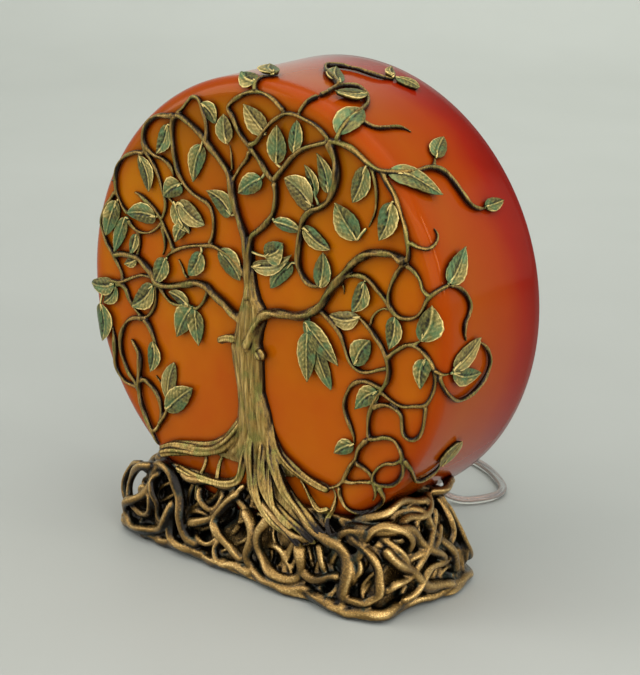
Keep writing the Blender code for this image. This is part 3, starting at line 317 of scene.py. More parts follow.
WOOD_PAINT = painted_metal("tree_bronze", (0.006, 0.003, 0.001), (0.270, 0.160, 0.032),
                           (1.00, 0.70, 0.24), (0.130, 0.165, 0.032), 0.55, (0.18, 0.38), 0.56, 0.16,
                           metallic=0.7, coat=0.08)
ROOT_PAINT = painted_metal("root_bronze", (0.005, 0.003, 0.001), (0.270, 0.152, 0.038),
                           (1.00, 0.69, 0.27), (0.012, 0.046, 0.036), 0.6, (0.14, 0.30), 0.52, 0.12,
                           patina_low=0.0, metallic=0.8, coat=0.12, shelter_reach=6.0, patina_high=0.42)
LEAF_PAINT = painted_metal("leaf_verdigris", (0.008, 0.007, 0.002), (0.165, 0.145, 0.032),
                           (0.95, 0.70, 0.24), (0.066, 0.172, 0.068), 0.68, gold_at=0.46, streaks=0.20,
                           patina_low=0.12, metallic=0.5, coat=0.08)
GOLD_LEAF = painted_metal("leaf_gold", (0.010, 0.008, 0.002), (0.245, 0.180, 0.042),
                          (1.00, 0.74, 0.27), (0.080, 0.170, 0.065), 0.50, gold_at=0.44, streaks=0.20,
                          coat=0.12)
AMBER = amber_glass()
VINYL = clear_vinyl()
PLUG_VINYL = plastic("milky_vinyl", (0.62, 0.60, 0.52), 0.28, 260, 0.00004, 0.4, 0.95)
WHEEL = plastic("wheel_plastic", (0.42, 0.40, 0.34), 0.4, 600, 0.00004, 0.1, 0.85)
TIE = plastic("tie_rubber", (0.020, 0.020, 0.021), 0.62, 1400, 0.00012)
BLACK = plastic("black_plastic", (0.022, 0.022, 0.024), 0.5)
BOARD = plastic("cover_board", (0.060, 0.048, 0.040), 0.75, 500, 0.0002)
BRASS = metal("brass", (0.80, 0.60, 0.28), 0.28)
STEEL = metal("steel", (0.62, 0.62, 0.62), 0.3)
COPPER = metal("copper_strands", (0.30, 0.16, 0.09), 0.4)
FELT = felt_cloth()
GLASS = clear_glass()


# ------------------------------------------------------------------ mesh building

def dress(mesh, crest, flow, look):
    """Give a mesh its material, smooth faces and the two attributes that the paints read."""
    for name, kind, field, values in (("crest", "FLOAT", "value", crest),
                                      ("flow", "FLOAT_VECTOR", "vector", flow)):
        mesh.attributes.new(name, kind, "POINT")
        mesh.attributes[name].data.foreach_set(field, values.astype(np.float32).ravel())
    mesh.polygons.foreach_set("use_smooth", [True] * len(mesh.polygons))
    mesh.materials.clear()
    mesh.materials.append(look)


class Piece:
    """Points and faces of one piece, with the numbers that its material reads."""

    def __init__(self):
        """Start with nothing."""
        self.points, self.faces, self.crest, self.flow, self.count = [], [], [], [], 0

    def add(self, points, faces, crest, flow=None):
        """Join one closed body to the piece. flow runs along its grain, for streaks in the paint."""
        points = np.asarray(points, float).reshape(-1, 3)
        self.points.append(points)
        self.faces.extend([[i + self.count for i in face] for face in faces])
        self.crest.append(np.broadcast_to(np.asarray(crest, float).ravel(), (len(points),)))
        self.flow.append(points * 0.8 if flow is None else np.asarray(flow, float).reshape(-1, 3))
        self.count += len(points)

    def finish(self, name, look, body="lamp"):
        """Make the object and set it riding on its body."""
        mesh = bpy.data.meshes.new(name)
        mesh.from_pydata(np.vstack(self.points) * MM, [], self.faces)
        dress(mesh, np.concatenate(self.crest), np.vstack(self.flow), look)
        mesh.validate()
        made = placed(name, mesh)
        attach(made, body)
        return made


def grid_faces(rows, columns, wrap=False):
    """Quads over a grid of points."""
    faces = []
    for i in range(rows - 1):
        for j in range(columns - (0 if wrap else 1)):
            a, b = i * columns + j, i * columns + (j + 1) % columns
            faces.append([a, b, b + columns, a + columns])
    return faces


def torus_faces(rows, count):
    """Quads over rings of points, the last joined to the first."""
    last = (rows - 1) * count
    return grid_faces(rows, count, wrap=True) + [[last + j, last + (j + 1) % count, (j + 1) % count, j]
                                                 for j in range(count)]


def tube_faces(rows, count):
    """Faces over rings of points, with a cap at each end."""
    faces = [face[::-1] for face in grid_faces(rows, count, wrap=True)]
    faces.append(list(range(count)))
    faces.append([(rows - 1) * count + i for i in range(count)][::-1])
    return faces


def sheet_faces(rows, columns):
    """Faces of a closed sheet: an upper grid, a lower one and the band between their borders."""
    total = rows * columns
    faces = grid_faces(rows, columns)
    faces += [[i + total for i in face[::-1]] for face in faces]
    border = [(i, 0) for i in range(rows)] + [(rows - 1, j) for j in range(1, columns)]
    border += [(i, columns - 1) for i in range(rows - 2, -1, -1)]
    border += [(0, j) for j in range(columns - 2, 0, -1)]
    ring = [i * columns + j for i, j in border]
    return faces + [[a, b, b + total, a + total] for a, b in zip(ring, ring[1:] + ring[:1])]


def sweep(piece, line, up, half_w, half_h, sides=12, grooves=3, depth=0.09, twist=0.12):
    """A closed strand along a line. up points away from what it lies on; it has lengthwise grooves."""
    count = len(line)
    tangent = unit(np.gradient(line, axis=0))
    up = unit(up - tangent * (up * tangent).sum(-1, keepdims=True))
    side = np.cross(tangent, up)
    along = np.concatenate([[0], np.cumsum(np.linalg.norm(np.diff(line, axis=0), axis=1))])
    half_w, half_h = np.broadcast_to(half_w, (count,)), np.broadcast_to(half_h, (count,))
    near = np.minimum(along / (half_w[0] + 1e-6), (along[-1] - along) / (half_w[-1] + 1e-6))
    rounded = np.sqrt(np.clip(1 - (1 - np.clip(near, 0, 1)) ** 2, 0.02, 1))
    angle = np.arange(sides) / sides * 2 * math.pi
    lobes = np.abs(np.sin(0.5 * grooves * (angle[None, :] + twist * along[:, None])))
    ripple = 1 + depth * (2 * lobes - 1.3)
    narrow = 1 - 0.2 * np.maximum(np.sin(angle), 0)
    across = (half_w * rounded)[:, None] * ripple * np.cos(angle) * narrow
    rise = (half_h * rounded)[:, None] * ripple * np.sin(angle)
    points = line[:, None, :] + side[:, None, :] * across[..., None] + up[:, None, :] * rise[..., None]
    # Painted light: the strand's upper side is lightened as a painted highlight and its flanks and underside
    # darkened as painted shade; the raised ridges are lightened as wear.
    crest = 0.10 + 0.90 * np.clip(np.sin(angle), 0, 1)[None, :] ** 1.2 + 1.3 * (ripple - 1)
    around = angle[None, :] * half_w[:, None]
    flow = np.stack([0.16 * along[:, None] + 0 * around, around, 0 * around + 7.3 * piece.count / 400], -1)
    piece.add(points, tube_faces(count, sides), np.clip(crest, 0, 1), flow)


def cast(piece, name, look, voxel, soften, reach, facing, light, gain, grain=(0.8, 0.8, 0.8)):
    """Fuse a piece's bodies into one skin, as in a casting, and read its paint wear from its own relief, with
    painted light from its facing.

    facing gives the outward direction at points: surfaces turned towards it get a painted highlight and
    surfaces turned away painted shade; light adds more lightness to points (in millimetres), wear and painted
    light."""
    rough = bpy.data.meshes.new(name + "_bodies")
    rough.from_pydata(np.vstack(piece.points) * MM, [], piece.faces)
    holder = placed(name + "_bodies", rough)
    step = holder.modifiers.new("skin", "REMESH")
    step.mode, step.voxel_size = "VOXEL", voxel * MM
    bpy.context.view_layer.update()
    graph = bpy.context.evaluated_depsgraph_get()
    mesh = bpy.data.meshes.new_from_object(holder.evaluated_get(graph))
    bpy.data.objects.remove(holder)
    count = len(mesh.vertices)
    flat = np.empty(3 * count)
    mesh.vertices.foreach_get("co", flat)
    points = flat.reshape(-1, 3) / MM
    ends = np.empty(2 * len(mesh.edges), dtype=np.int32)
    mesh.edges.foreach_get("vertices", ends)
    first, second = ends[::2], ends[1::2]
    degree = np.bincount(ends, minlength=count)[:, None]

    def relax(values, share, rounds):
        """Values moved towards the mean of their neighbours'."""
        for _ in range(rounds):
            total = np.stack([np.bincount(first, values[second, k], count)
                              + np.bincount(second, values[first, k], count) for k in range(3)], -1)
            values = values + share * (total / degree - values)
        return values

    points = relax(points, 0.5, soften)
    mesh.vertices.foreach_set("co", (points * MM).ravel())
    mesh.update()
    normals = np.empty(3 * count, dtype=np.float32)
    mesh.vertex_normals.foreach_get("vector", normals)
    normals = normals.reshape(-1, 3)
    relief = ((points - relax(points, 0.9, reach)) * normals).sum(-1)
    turned = (normals * facing(points)).sum(-1)
    # Relief gives the wear; the facing term is painted light, bright on tops turned outward and dark on
    # flanks turned away.
    crest = np.clip(0.32 + gain * relief + 0.85 * (np.clip(turned, -0.2, 1) - 0.78) + light(points), 0, 1)
    dress(mesh, crest, points * np.array(grain), look)
    made = placed(name, mesh)
    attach(made, "lamp")
    return made


def spin(name, profile, look, origin, segments, closed=True):
    """Turn a profile of (radius, height) round an axis; height runs along -Y."""
    profile = np.array(profile, float)
    angle = np.arange(segments) / segments * 2 * math.pi
    ring_x, ring_z = np.sin(angle), np.cos(angle)
    r, h = profile[:, 0][:, None], profile[:, 1][:, None]
    points = np.stack([r * ring_x, -h + 0 * r * ring_x, r * ring_z], -1)
    piece = Piece()
    faces = torus_faces(len(profile), segments) if closed else grid_faces(len(profile), segments, wrap=True)
    piece.add(points + np.array(origin, float), faces, 0.6)
    return piece.finish(name, look)


# ------------------------------------------------------------------ camera, floor, lights

def make_camera():
    """The camera, at the photograph's viewing angle."""
    azimuth, elevation, roll = (math.radians(a) for a in (38.804, 16.991, 0.992))
    ahead = Vector((-math.sin(azimuth) * math.cos(elevation), math.cos(azimuth) * math.cos(elevation),
                    -math.sin(elevation)))
    right = Vector((math.cos(azimuth), math.sin(azimuth), 0.0))
    upward = right.cross(ahead)
    turned_right = math.cos(roll) * right + math.sin(roll) * upward
    turned_up = math.cos(roll) * upward - math.sin(roll) * right
    data = bpy.data.cameras.new("camera")
    data.lens = 112.39
    data.sensor_width = 36.0
    data.clip_start, data.clip_end = 0.05, 20.0
    made = placed("camera", data)
    turn = Matrix((turned_right, turned_up, -ahead)).transposed().to_4x4()
    made.matrix_world = Matrix.Translation((0.62787, -0.76415, 0.41540)) @ turn
    bpy.context.scene.camera = made


def make_stage():
    """A plain pale floor that curves up into a backdrop."""
    made, tree, shader = new_material("backdrop")
    tone = noise(tree, 6, 2)
    tree.links.new(ramp(tree, tone, (0.3, (0.362, 0.374, 0.340)), (0.7, (0.377, 0.389, 0.355))),
                   shader.inputs["Base Color"])
    shader.inputs["Roughness"].default_value = 0.6
    bend, reach, wide, tall = 0.9, 2.2, 5.0, 4.0
    profile = [(-3.5, 0.0), (reach - bend, 0.0)]
    for i in range(1, 25):
        a = math.pi / 2 * i / 24
        profile.append((reach - bend + bend * math.sin(a), bend - bend * math.cos(a)))
    profile.append((reach, tall))
    away = Matrix.Rotation(math.radians(38.8), 3, "Z")
    points = []
    for distance, height in profile:
        for side in (-wide, wide):
            points.append(away @ Vector((side, distance, height)))
    mesh = bpy.data.meshes.new("floor")
    mesh.from_pydata(points, [], [[2 * i, 2 * i + 1, 2 * i + 3, 2 * i + 2] for i in range(len(profile) - 1)])
    mesh.polygons.foreach_set("use_smooth", [True] * len(mesh.polygons))
    mesh.materials.append(made)
    floor = placed("floor", mesh)


def area_light(name, place, target, size, power, colour=(1, 1, 1)):
    """A soft rectangular light aimed at a point."""
    data = bpy.data.lights.new(name, "AREA")
    data.shape = "RECTANGLE"
    data.size, data.size_y = size
    data.energy = power
    data.color = colour
    made = placed(name, data)
    made.location = place
    made.rotation_euler = (Vector(target) - Vector(place)).to_track_quat("-Z", "Y").to_euler()


def make_lights():
    """Plain soft studio light."""
    world = bpy.data.worlds.new("studio")
    bpy.context.scene.world = world
    world.use_nodes = True
    back = world.node_tree.nodes["Background"]
    back.inputs[0].default_value = (0.93, 0.96, 1.0, 1)
    back.inputs[1].default_value = 0.74
    centre = (0, 0, 0.12)
    area_light("overhead", (0.20, -0.45, 1.5), centre, (2.2, 2.2), 20, (1, 0.98, 0.95))
    area_light("left_box", (-1.3, -1.0, 0.9), centre, (0.9, 1.1), 8, (1, 0.98, 0.95))
    area_light("right_box", (1.45, 0.10, 0.75), centre, (0.22, 0.9), 5, (1, 0.97, 0.94))
    area_light("low_fill", (1.2, -0.9, 0.7), (0.1, 0, 0.02), (1.4, 0.9), 10.5, (1, 0.99, 0.97))
    area_light("backdrop_wash", (-0.4, 1.0, 1.6), (-1.2, 2.2, 0.6), (1.2, 1.2), 22, (0.97, 1, 0.96))


# ------------------------------------------------------------------ cord

def coil_turns():
    """Nine turns of cord in three layers, wound from the top outside to the bottom outside."""
    near, middle, far = 20.2, 25.0, 29.8
    low, mid, high = 2.6, 7.4, 12.2
    cells = [(far, high), (middle, high), (near, high), (near, mid), (near, low), (middle, low),
             (middle, mid), (far, mid), (far, low)]
    first, step, change, apart = 150.0, 6.0, 52.0, 42.0
    places = [0, 0, 1, 1, 2, 3, 4, 5]
    last = 280.0 + 360.0 * 8
    points = []
    angles = np.arange(first, last + 0.1, step)
    for angle in angles:
        r, z = cells[0]
        for k in range(1, len(cells)):
            start = first + 360.0 * k - apart * (places[k - 1] + 1)
            share = float(ease(angle, start, start + change))
            r += (cells[k][0] - cells[k - 1][0]) * share
            z += (cells[k][1] - cells[k - 1][1]) * share
        a = math.radians(angle)
        off_tie = abs((angle - 270 + 180) % 360 - 180) / 360 * 2 * math.pi * r
        z += 1.9 * math.exp(-(off_tie / 14.0) ** 2)
        points.append((COIL_X + r * math.cos(a), COIL_Y + r * math.sin(a), z))
    return points


def make_cord():
    """The cord in one piece from the strain relief to the plug, with its two inner wires."""
    coil = coil_turns()
    route = np.vstack([smooth(LEAD, 4.0)[:-1], smooth([LEAD[-1]] + LINK + coil[:6], 4.0)[:-1],
                       smooth(coil[5:-2], 4.0)[:-1], smooth(coil[-3:-1] + TAIL, 3.0)])
    lead = curve("power_cord", route, CORD_D / 2, VINYL, 6)
    tangent = unit(np.gradient(route, axis=0))
    level = unit(np.cross(tangent, np.array([0.0, 0.0, 1.0])) + np.array([1e-4, 0, 0]))
    for i in range(1, len(level)):
        if (level[i] * level[i - 1]).sum() < 0:
            level[i] *= -1
    wires = []
    for name, side in (("inner_wire_a", -1), ("inner_wire_b", 1)):
        wires.append(curve(name, route + level * side * 1.05, 0.62, COPPER, 3))
    return lead, wires


def curve(name, points, radius, look, resolution, body="lamp"):
    """A round curve through millimetre points."""
    data = bpy.data.curves.new(name, "CURVE")
    data.dimensions = "3D"
    data.bevel_depth = radius * MM
    data.bevel_resolution = resolution
    data.use_fill_caps = True
    strand = data.splines.new("POLY")
    strand.points.add(len(points) - 1)
    for knot, point in zip(strand.points, points):
        knot.co = (*(Vector(point) * MM), 1.0)
    strand.use_smooth = True
    data.materials.append(look)
    made = placed(name, data)
    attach(made, body)
    return made


make_camera()
make_stage()
make_lights()
bpy.context.scene.view_settings.view_transform = "Standard"
cord_piece, cord_wires = make_cord()
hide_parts("cord_lead", "cord_link", "cord_coil", "cord_tail")


# ------------------------------------------------------------------ the tree

VINES = [
    # left main branch and the canopy above it
    (4.4, [(-1, 4), (-2, 13), (-3, 20), (-3.4, 27), (-4.5, 35), (-7.5, 41.5), (-10.5, 48), (-12.5, 54),
      (-13.8, 60), (-16, 65), (-20, 69.5), (-24, 73), (-29, 77), (-34, 80.5), (-40, 84), (-45, 86.8),
      (-49, 87.2)]),
    (3.0, [(-49, 87.2), (-54, 86), (-60, 84.5), (-65, 82), (-68.5, 78.5), (-70.5, 74), (-70, 70), (-67, 67),
      (-63, 65.3), (-58, 64.8), (-54, 63), (-51.5, 60), (-50.8, 55)]),
    (2.8, [(-49, 87), (-50.7, 82), (-51, 76), (-50.3, 70), (-49, 64), (-47, 58.5), (-43.5, 54.5), (-38, 51),
      (-33, 49), (-28.5, 47), (-25.8, 43), (-24.6, 37), (-25, 31), (-27, 27)]),
    (2.6, [(-29, 77), (-28.8, 83), (-29.5, 88), (-31.5, 93), (-34, 96.5), (-38, 96.5), (-42, 93), (-45, 90),
      (-48.5, 88)]),
    # right fork of the trunk
    (4.0, [(-0.5, 6), (-1.6, 15), (-2, 23), (-1.5, 31), (0, 36), (4, 39), (8, 42.5), (11.5, 47), (13.3, 52),
      (13.9, 58), (13.3, 64.5)]),
    (3.0, [(13.3, 64.5), (9, 67.5), (5, 71.5), (1, 75.5), (-3, 79), (-6.5, 82.5), (-10, 87), (-13, 91.5),
      (-16, 95), (-12.5, 99), (-7, 102), (0, 103.6), (7, 103.4), (13, 101.6), (19, 98)]),
    (3.4, [(13.3, 64.5), (16, 68.5), (20, 73), (25, 78), (30.5, 81.8), (37, 85), (45, 88)]),
    (2.6, [(-3, 79), (2, 81), (5.5, 85), (10, 90.5), (14, 94), (19, 97), (24, 97.4), (30, 95.8), (36, 94),
      (41, 91.5), (45, 88.5)]),
    (2.4, [(-2, 77), (-4.5, 72), (-8, 68), (-10.5, 64), (-13, 59)]),
    (4.0, [(45, 88), (48, 83), (50, 77), (50, 71), (48, 65), (45, 60), (41, 56.5), (36, 54), (32, 50),
      (29.5, 45), (28.5, 39), (28, 33), (28.5, 27), (31, 22.3), (36, 18.8), (42, 19)]),
    (3.2, [(45, 88.5), (51, 88), (57, 86), (62, 83), (67, 80), (73, 77.8), (80, 78), (85, 80), (90, 84),
      (95, 89), (100, 91.6), (105, 91.6), (109, 89.6), (113, 85.6), (117, 81.6), (121, 78), (125, 76.2),
      (130, 76.4), (135, 79)]),
    (2.8, [(73, 77.8), (76.5, 73), (80, 69), (83, 64.8), (86, 59.8), (88.7, 54.5), (90.2, 49), (91, 44),
      (90, 39)]),
    (2.0, [(67, 80), (70, 75.5), (72, 70), (72.4, 64), (71, 57.5), (67, 51)]),
    # right main branch
    (5.4, [(-2, -20), (1.5, -11), (6, -3.5), (11, 0), (17, 1.4), (23, 2.2), (29, 3), (35, 4.8), (40, 7.5),
      (43.5, 11), (46, 15.5), (49, 20), (53, 24.8), (57, 29.5), (61, 33.5), (65, 37), (70, 40), (76, 41.6),
      (83, 42), (90, 39)]),
    (2.6, [(90, 39), (87, 35.8), (84, 31.8), (81.7, 27.5), (80.7, 22.5), (81.8, 17.5), (85, 14)]),
    (2.4, [(90, 38), (94, 36.3), (97, 33), (99, 28.5), (102, 25.5)]),
    (3.0, [(53, 24.8), (57, 27), (62, 28.6), (67, 28.6), (71, 26.6), (75, 23), (79, 19.5), (85, 14),
      (91, 13.6), (96, 15.4), (99.6, 19), (101.5, 24), (105, 28), (109.5, 31)]),
    (2.4, [(109.5, 31), (114, 31), (118.5, 29.3), (122.4, 26), (124.6, 21.5), (124, 17), (121.6, 13),
      (121.5, 8), (124, 3)]),
    (2.6, [(42, 8), (46, 5.5), (50, 2), (54, -2.2), (56, -6.5), (58.5, -11), (62, -15), (66.5, -16.6),
      (71.5, -16), (77, -13.8), (81.8, -12)]),
    (3.0, [(64, 8.5), (68, 6.6), (72, 4), (76, 0.3), (79, -3), (81.6, -7.5), (82.4, -13), (81.2, -18),
      (78.5, -22.5), (76, -27), (73.6, -32), (72, -37), (71.2, -42.5), (71.4, -48)]),
    (2.6, [(81.6, -7.5), (84, -4), (87.5, -1), (92, 1.5), (98, 1.2), (102, -1.6), (105, -7), (106, -13),
      (105.2, -19), (102, -25), (96, -26.8), (90, -28), (84, -27), (78, -24.5)]),
    (2.0, [(92, 1.5), (96, 3), (101, 6)]),
    (2.4, [(105, -7), (109, -10), (114, -10.5)]),
    (2.4, [(107, -10), (109, -16), (112.6, -21.8), (117.5, -26.2), (123.5, -28.6), (129.5, -28.2),
      (135, -25.4), (139.4, -20), (141, -13.5), (139.6, -7), (136, -1.4), (131, 2.4)]),
    # lower right
    (2.8, [(78.5, -22.5), (73, -21.5), (68, -21.4), (63, -23), (59.5, -26), (57.2, -30.5), (56.6, -35.5),
      (58, -40), (60.5, -44.5), (62.5, -49.5), (62.4, -54)]),
    (2.6, [(73.6, -33), (76, -31), (80.5, -29.6), (85.5, -30.2), (89.2, -32.6), (90.2, -37), (91.6, -41.4),
      (95, -43), (98.2, -40.6), (100.2, -36), (101.4, -31), (102.4, -25.5)]),
    (2.6, [(71.4, -48), (76, -47.4), (81, -45.6), (86, -45.6), (89.6, -48.4), (90.3, -53), (86.6, -56.6),
      (81.5, -58), (77.4, -60.8), (74.8, -65), (74.6, -69.5)]),
    (3.0, [(71.4, -48), (68.4, -51.4), (66, -55.4), (64.8, -60), (62, -64), (59.4, -68), (56.6, -73),
      (51.5, -77), (46, -79)]),
    (2.4, [(64.4, -61.6), (69, -63), (73, -65.6), (74.8, -70), (74.4, -75), (72, -80)]),
    (2.4, [(57.4, -72), (62, -72.3), (67.5, -70.8), (74, -69.6)]),
    (2.4, [(90, -54), (89, -60), (87, -65), (83.6, -68.6), (79, -69.6), (74.8, -69.8)]),
    (2.4, [(90.3, -53), (92.6, -58), (93.4, -64), (93.6, -70), (95.8, -76.5), (101, -80.5), (107, -80),
      (111, -76)]),
    # left main branch and the lower left
    (4.6, [(0, -22), (-3.5, -12), (-7, -6.5), (-12, -3.5), (-16, -1.2), (-20, 0.6), (-25, 3), (-29, 6),
      (-34, 6.8), (-39, 5.8), (-45, 3.8), (-51, 1.8), (-57, 0.6), (-62, 1.6), (-65, 5.5), (-69, 9),
      (-74, 11.8), (-80, 12), (-86, 11.6), (-91, 10.5)]),
    (2.8, [(-4, 15), (-8, 20), (-13, 23.5), (-19, 25.4), (-25, 26.4), (-31, 25.6), (-38, 24.6), (-45, 22.6),
      (-50.5, 19.6), (-55, 16), (-58, 12)]),
    (2.2, [(-28, 4.6), (-30, 0), (-32.6, -4), (-36, -7), (-38.5, -6.5)]),
    (2.4, [(-60, 0.8), (-57, -3.2), (-52, -6.2), (-46, -7), (-38.5, -6.6)]),
    (2.6, [(-78, 45), (-73, 44), (-68, 41), (-63, 37.5), (-59.4, 33.8), (-56.4, 29.8), (-53.4, 25.6),
      (-50.8, 20)]),
    (2.4, [(-71, 72), (-69, 66), (-65, 62), (-61.4, 57), (-58.8, 51.6), (-56.8, 46.4), (-56.2, 41.4),
      (-57.6, 37), (-59.6, 34)]),
    (2.4, [(-69, 65.6), (-74, 65.4), (-79, 63.6), (-84, 60.4), (-87.6, 56.4), (-89.6, 51.6), (-90, 46.6),
      (-89, 42), (-85.6, 37.2), (-81, 33)]),
    (2.2, [(-81, 30.6), (-78, 27.6), (-73, 25.6), (-67, 26), (-62, 28.6), (-58.4, 32.4)]),
    (2.2, [(-58.2, 31), (-57, 26), (-57.4, 20.5), (-59.6, 15.5)]),
    (2.0, [(-75, 25.6), (-74, 20), (-75, 15), (-76, 12)]),
    (2.6, [(-89.5, 43.5), (-93.5, 37.5), (-97, 32), (-99.4, 26), (-98.6, 20.5), (-96, 15.5), (-92.5, 11.6),
      (-88.6, 6.6), (-86, 2), (-85.5, -2)]),
    (2.6, [(-99, -4), (-93, -3), (-87.5, -2.8), (-82, -1), (-76.6, 1.6), (-71, 3.8), (-64.6, 4)]),
    (2.6, [(-90, -5), (-86.6, -3.8), (-83.6, -6), (-81.8, -10), (-78.8, -13.8), (-75, -16.2), (-71, -17.8),
      (-66.8, -15), (-64, -10.6), (-62.8, -5), (-62.4, 1)]),
    (2.8, [(-71, -18.4), (-75.5, -18.8), (-80, -20.6), (-83.6, -24), (-86.2, -29), (-87.4, -35),
      (-86.8, -40.6), (-84.8, -45.6), (-81.6, -50), (-77, -53.6), (-74.4, -58)]),
    (2.8, [(-71, -18.4), (-67.6, -21), (-65.2, -25), (-63.2, -30), (-61.8, -35.5)]),
    (3.2, [(-80.5, -31), (-77.2, -33.4), (-74.4, -37), (-73.6, -42), (-74, -47), (-74.4, -52), (-74, -58),
      (-72.2, -64.4), (-69.6, -70.4), (-67, -75.6), (-64.6, -80), (-62, -84)]),
    (2.8, [(-94, -27), (-92.4, -33), (-91.8, -39.5), (-91.4, -45.6), (-89.2, -50.6), (-85, -54.2),
      (-80, -55.4), (-74.4, -56)]),
    (2.8, [(-74.4, -53), (-71, -50.8), (-67, -52.2), (-63, -55.2), (-60.4, -59), (-59.6, -64), (-60, -69),
      (-61.8, -73), (-65, -77)]),
    (2.6, [(-61, -72), (-58, -67.6), (-56, -63), (-55, -58)]),
    # sprigs over the top edge and on the side
    (2.4, [(1, 103.6), (-1, 107), (0, 111), (3, 114)]),
    (3.0, [(50, 88), (50.6, 92), (52, 98), (53.2, 104), (54.2, 110), (54.4, 117), (52.6, 123.4),
      (48.6, 128.6), (43, 131), (38, 128.8), (35.6, 124), (34.6, 117.6), (34.6, 110.5), (33.4, 107)]),
    (2.2, [(54, 100.5), (60, 99.6), (65, 101), (69, 104.6), (73, 108.6), (78, 111.2), (82.5, 111.6)]),
    (2.6, [(35.4, 123), (31, 128), (26, 132.4), (20, 137.4), (14.6, 142.4), (11.4, 147), (14, 150.6),
      (19, 152.4), (26, 153.4), (33, 153.2), (40, 153.4), (46, 154.6), (52, 158)]),
    (2.2, [(98, 91.6), (98.3, 96), (98.6, 101)]),
    (2.2, [(33.4, 107), (29.5, 103), (26.5, 97.6)]),
]

LEAVES = [
    ((-54, 81.5), (-62, 67), 8.5), ((-73, 64), (-66, 47), 9), ((-32, 95), (-22, 87.5), 8),
    ((-15.6, 78), (-17, 92), 9), ((7.4, 85.6), (-4.5, 99), 10.5), ((14.5, 73), (15.5, 91), 10.5),
    ((25, 79.5), (26, 95), 7.5), ((6, 65), (-7.5, 55), 9), ((-32, 75), (-38, 56.5), 9),
    ((-13, 44), (-27.5, 54.5), 10.5), ((-45, 54), (-56, 46), 9.5), ((36.5, 56.5), (19.5, 66), 13),
    ((37.5, 61), (31.5, 75), 6.5), ((45.6, 64), (40.3, 82), 8.5), ((41.8, 19), (44, 36), 9.5),
    ((14, 45.6), (30.4, 45), 6), ((66, 79), (60, 61.5), 9.5), ((62.4, 45), (51, 61), 12),
    ((81, 65), (75, 47.5), 10.5), ((67.6, 26.6), (62, 11), 9), ((64.6, 9), (47, 5), 8),
    ((62.6, -14), (72, -0.6), 10), ((85.4, 13.4), (82, -2), 9), ((76, 77.6), (103.5, 74.5), 10),
    ((98.6, 99), (98.2, 117.6), 9.5), ((133, 78), (144.5, 86), 8.5), ((109, 31.6), (120, 50), 10.5),
    ((100.6, 5.4), (104.4, 22), 9.5), ((114, -8), (132, 4.4), 10), ((113, -9.6), (134, -16), 9),
    ((102.4, -3), (100.4, -17), 7), ((77, -23.6), (64, -34), 8.5), ((62.6, -53), (51.8, -60), 7),
    ((110, -76), (122, -61.5), 11), ((50.4, 91), (54.6, 108), 11.5), ((51, 124), (38, 112), 9.5),
    ((33.8, 128.6), (19, 147), 8.5), ((52, 157.6), (70, 156), 7), ((50.4, 158), (41, 168), 5.5),
    ((5, 113.4), (-7, 125), 9), ((-0.6, 108), (-13, 112), 7), ((-21, 25.6), (-6.5, 13.5), 11.5),
    ((-32, 22.5), (-39, 9), 9), ((-55, 15.5), (-62, 1.5), 9), ((-36.5, -7.5), (-34.6, -25), 9.5),
    ((-38.5, -6), (-48, -23), 11), ((-40, -6), (-53.4, -2), 6.5), ((-46, 45), (-29, 37), 9.5),
    ((-50, 44), (-40, 30), 8), ((-44, 33.6), (-49, 25), 6.5), ((-61.5, 35), (-81, 33), 9.5),
    ((-88, 39), (-94.4, 19.5), 9), ((-83, 31), (-91, 12), 7), ((-75, 24), (-79.6, 13), 5.5),
    ((-75, 11), (-83, 7.6), 5), ((-90, -4), (-106, -8), 8.5), ((-90, -5.4), (-98.4, -16), 7.5),
    ((-64, 0), (-79, -12.6), 10.5), ((-64, -29), (-66, -45), 8.5), ((-100, -16), (-97.6, -35.5), 10.5),
    ((-55, -58), (-51.6, -37), 8.5), ((-56, -63), (-36.8, -48), 11), ((33, 1), (53, -17.5), 10),
    ((35, -4), (36, -28), 10), ((38, -8), (50.4, -28.6), 8), ((31, 45.5), (47.4, 38), 7.5),
    ((1, 21.6), (26, 30), 7), ((9, 28), (20.4, 36), 11), ((24, 27), (12.4, 12), 8.5),
]

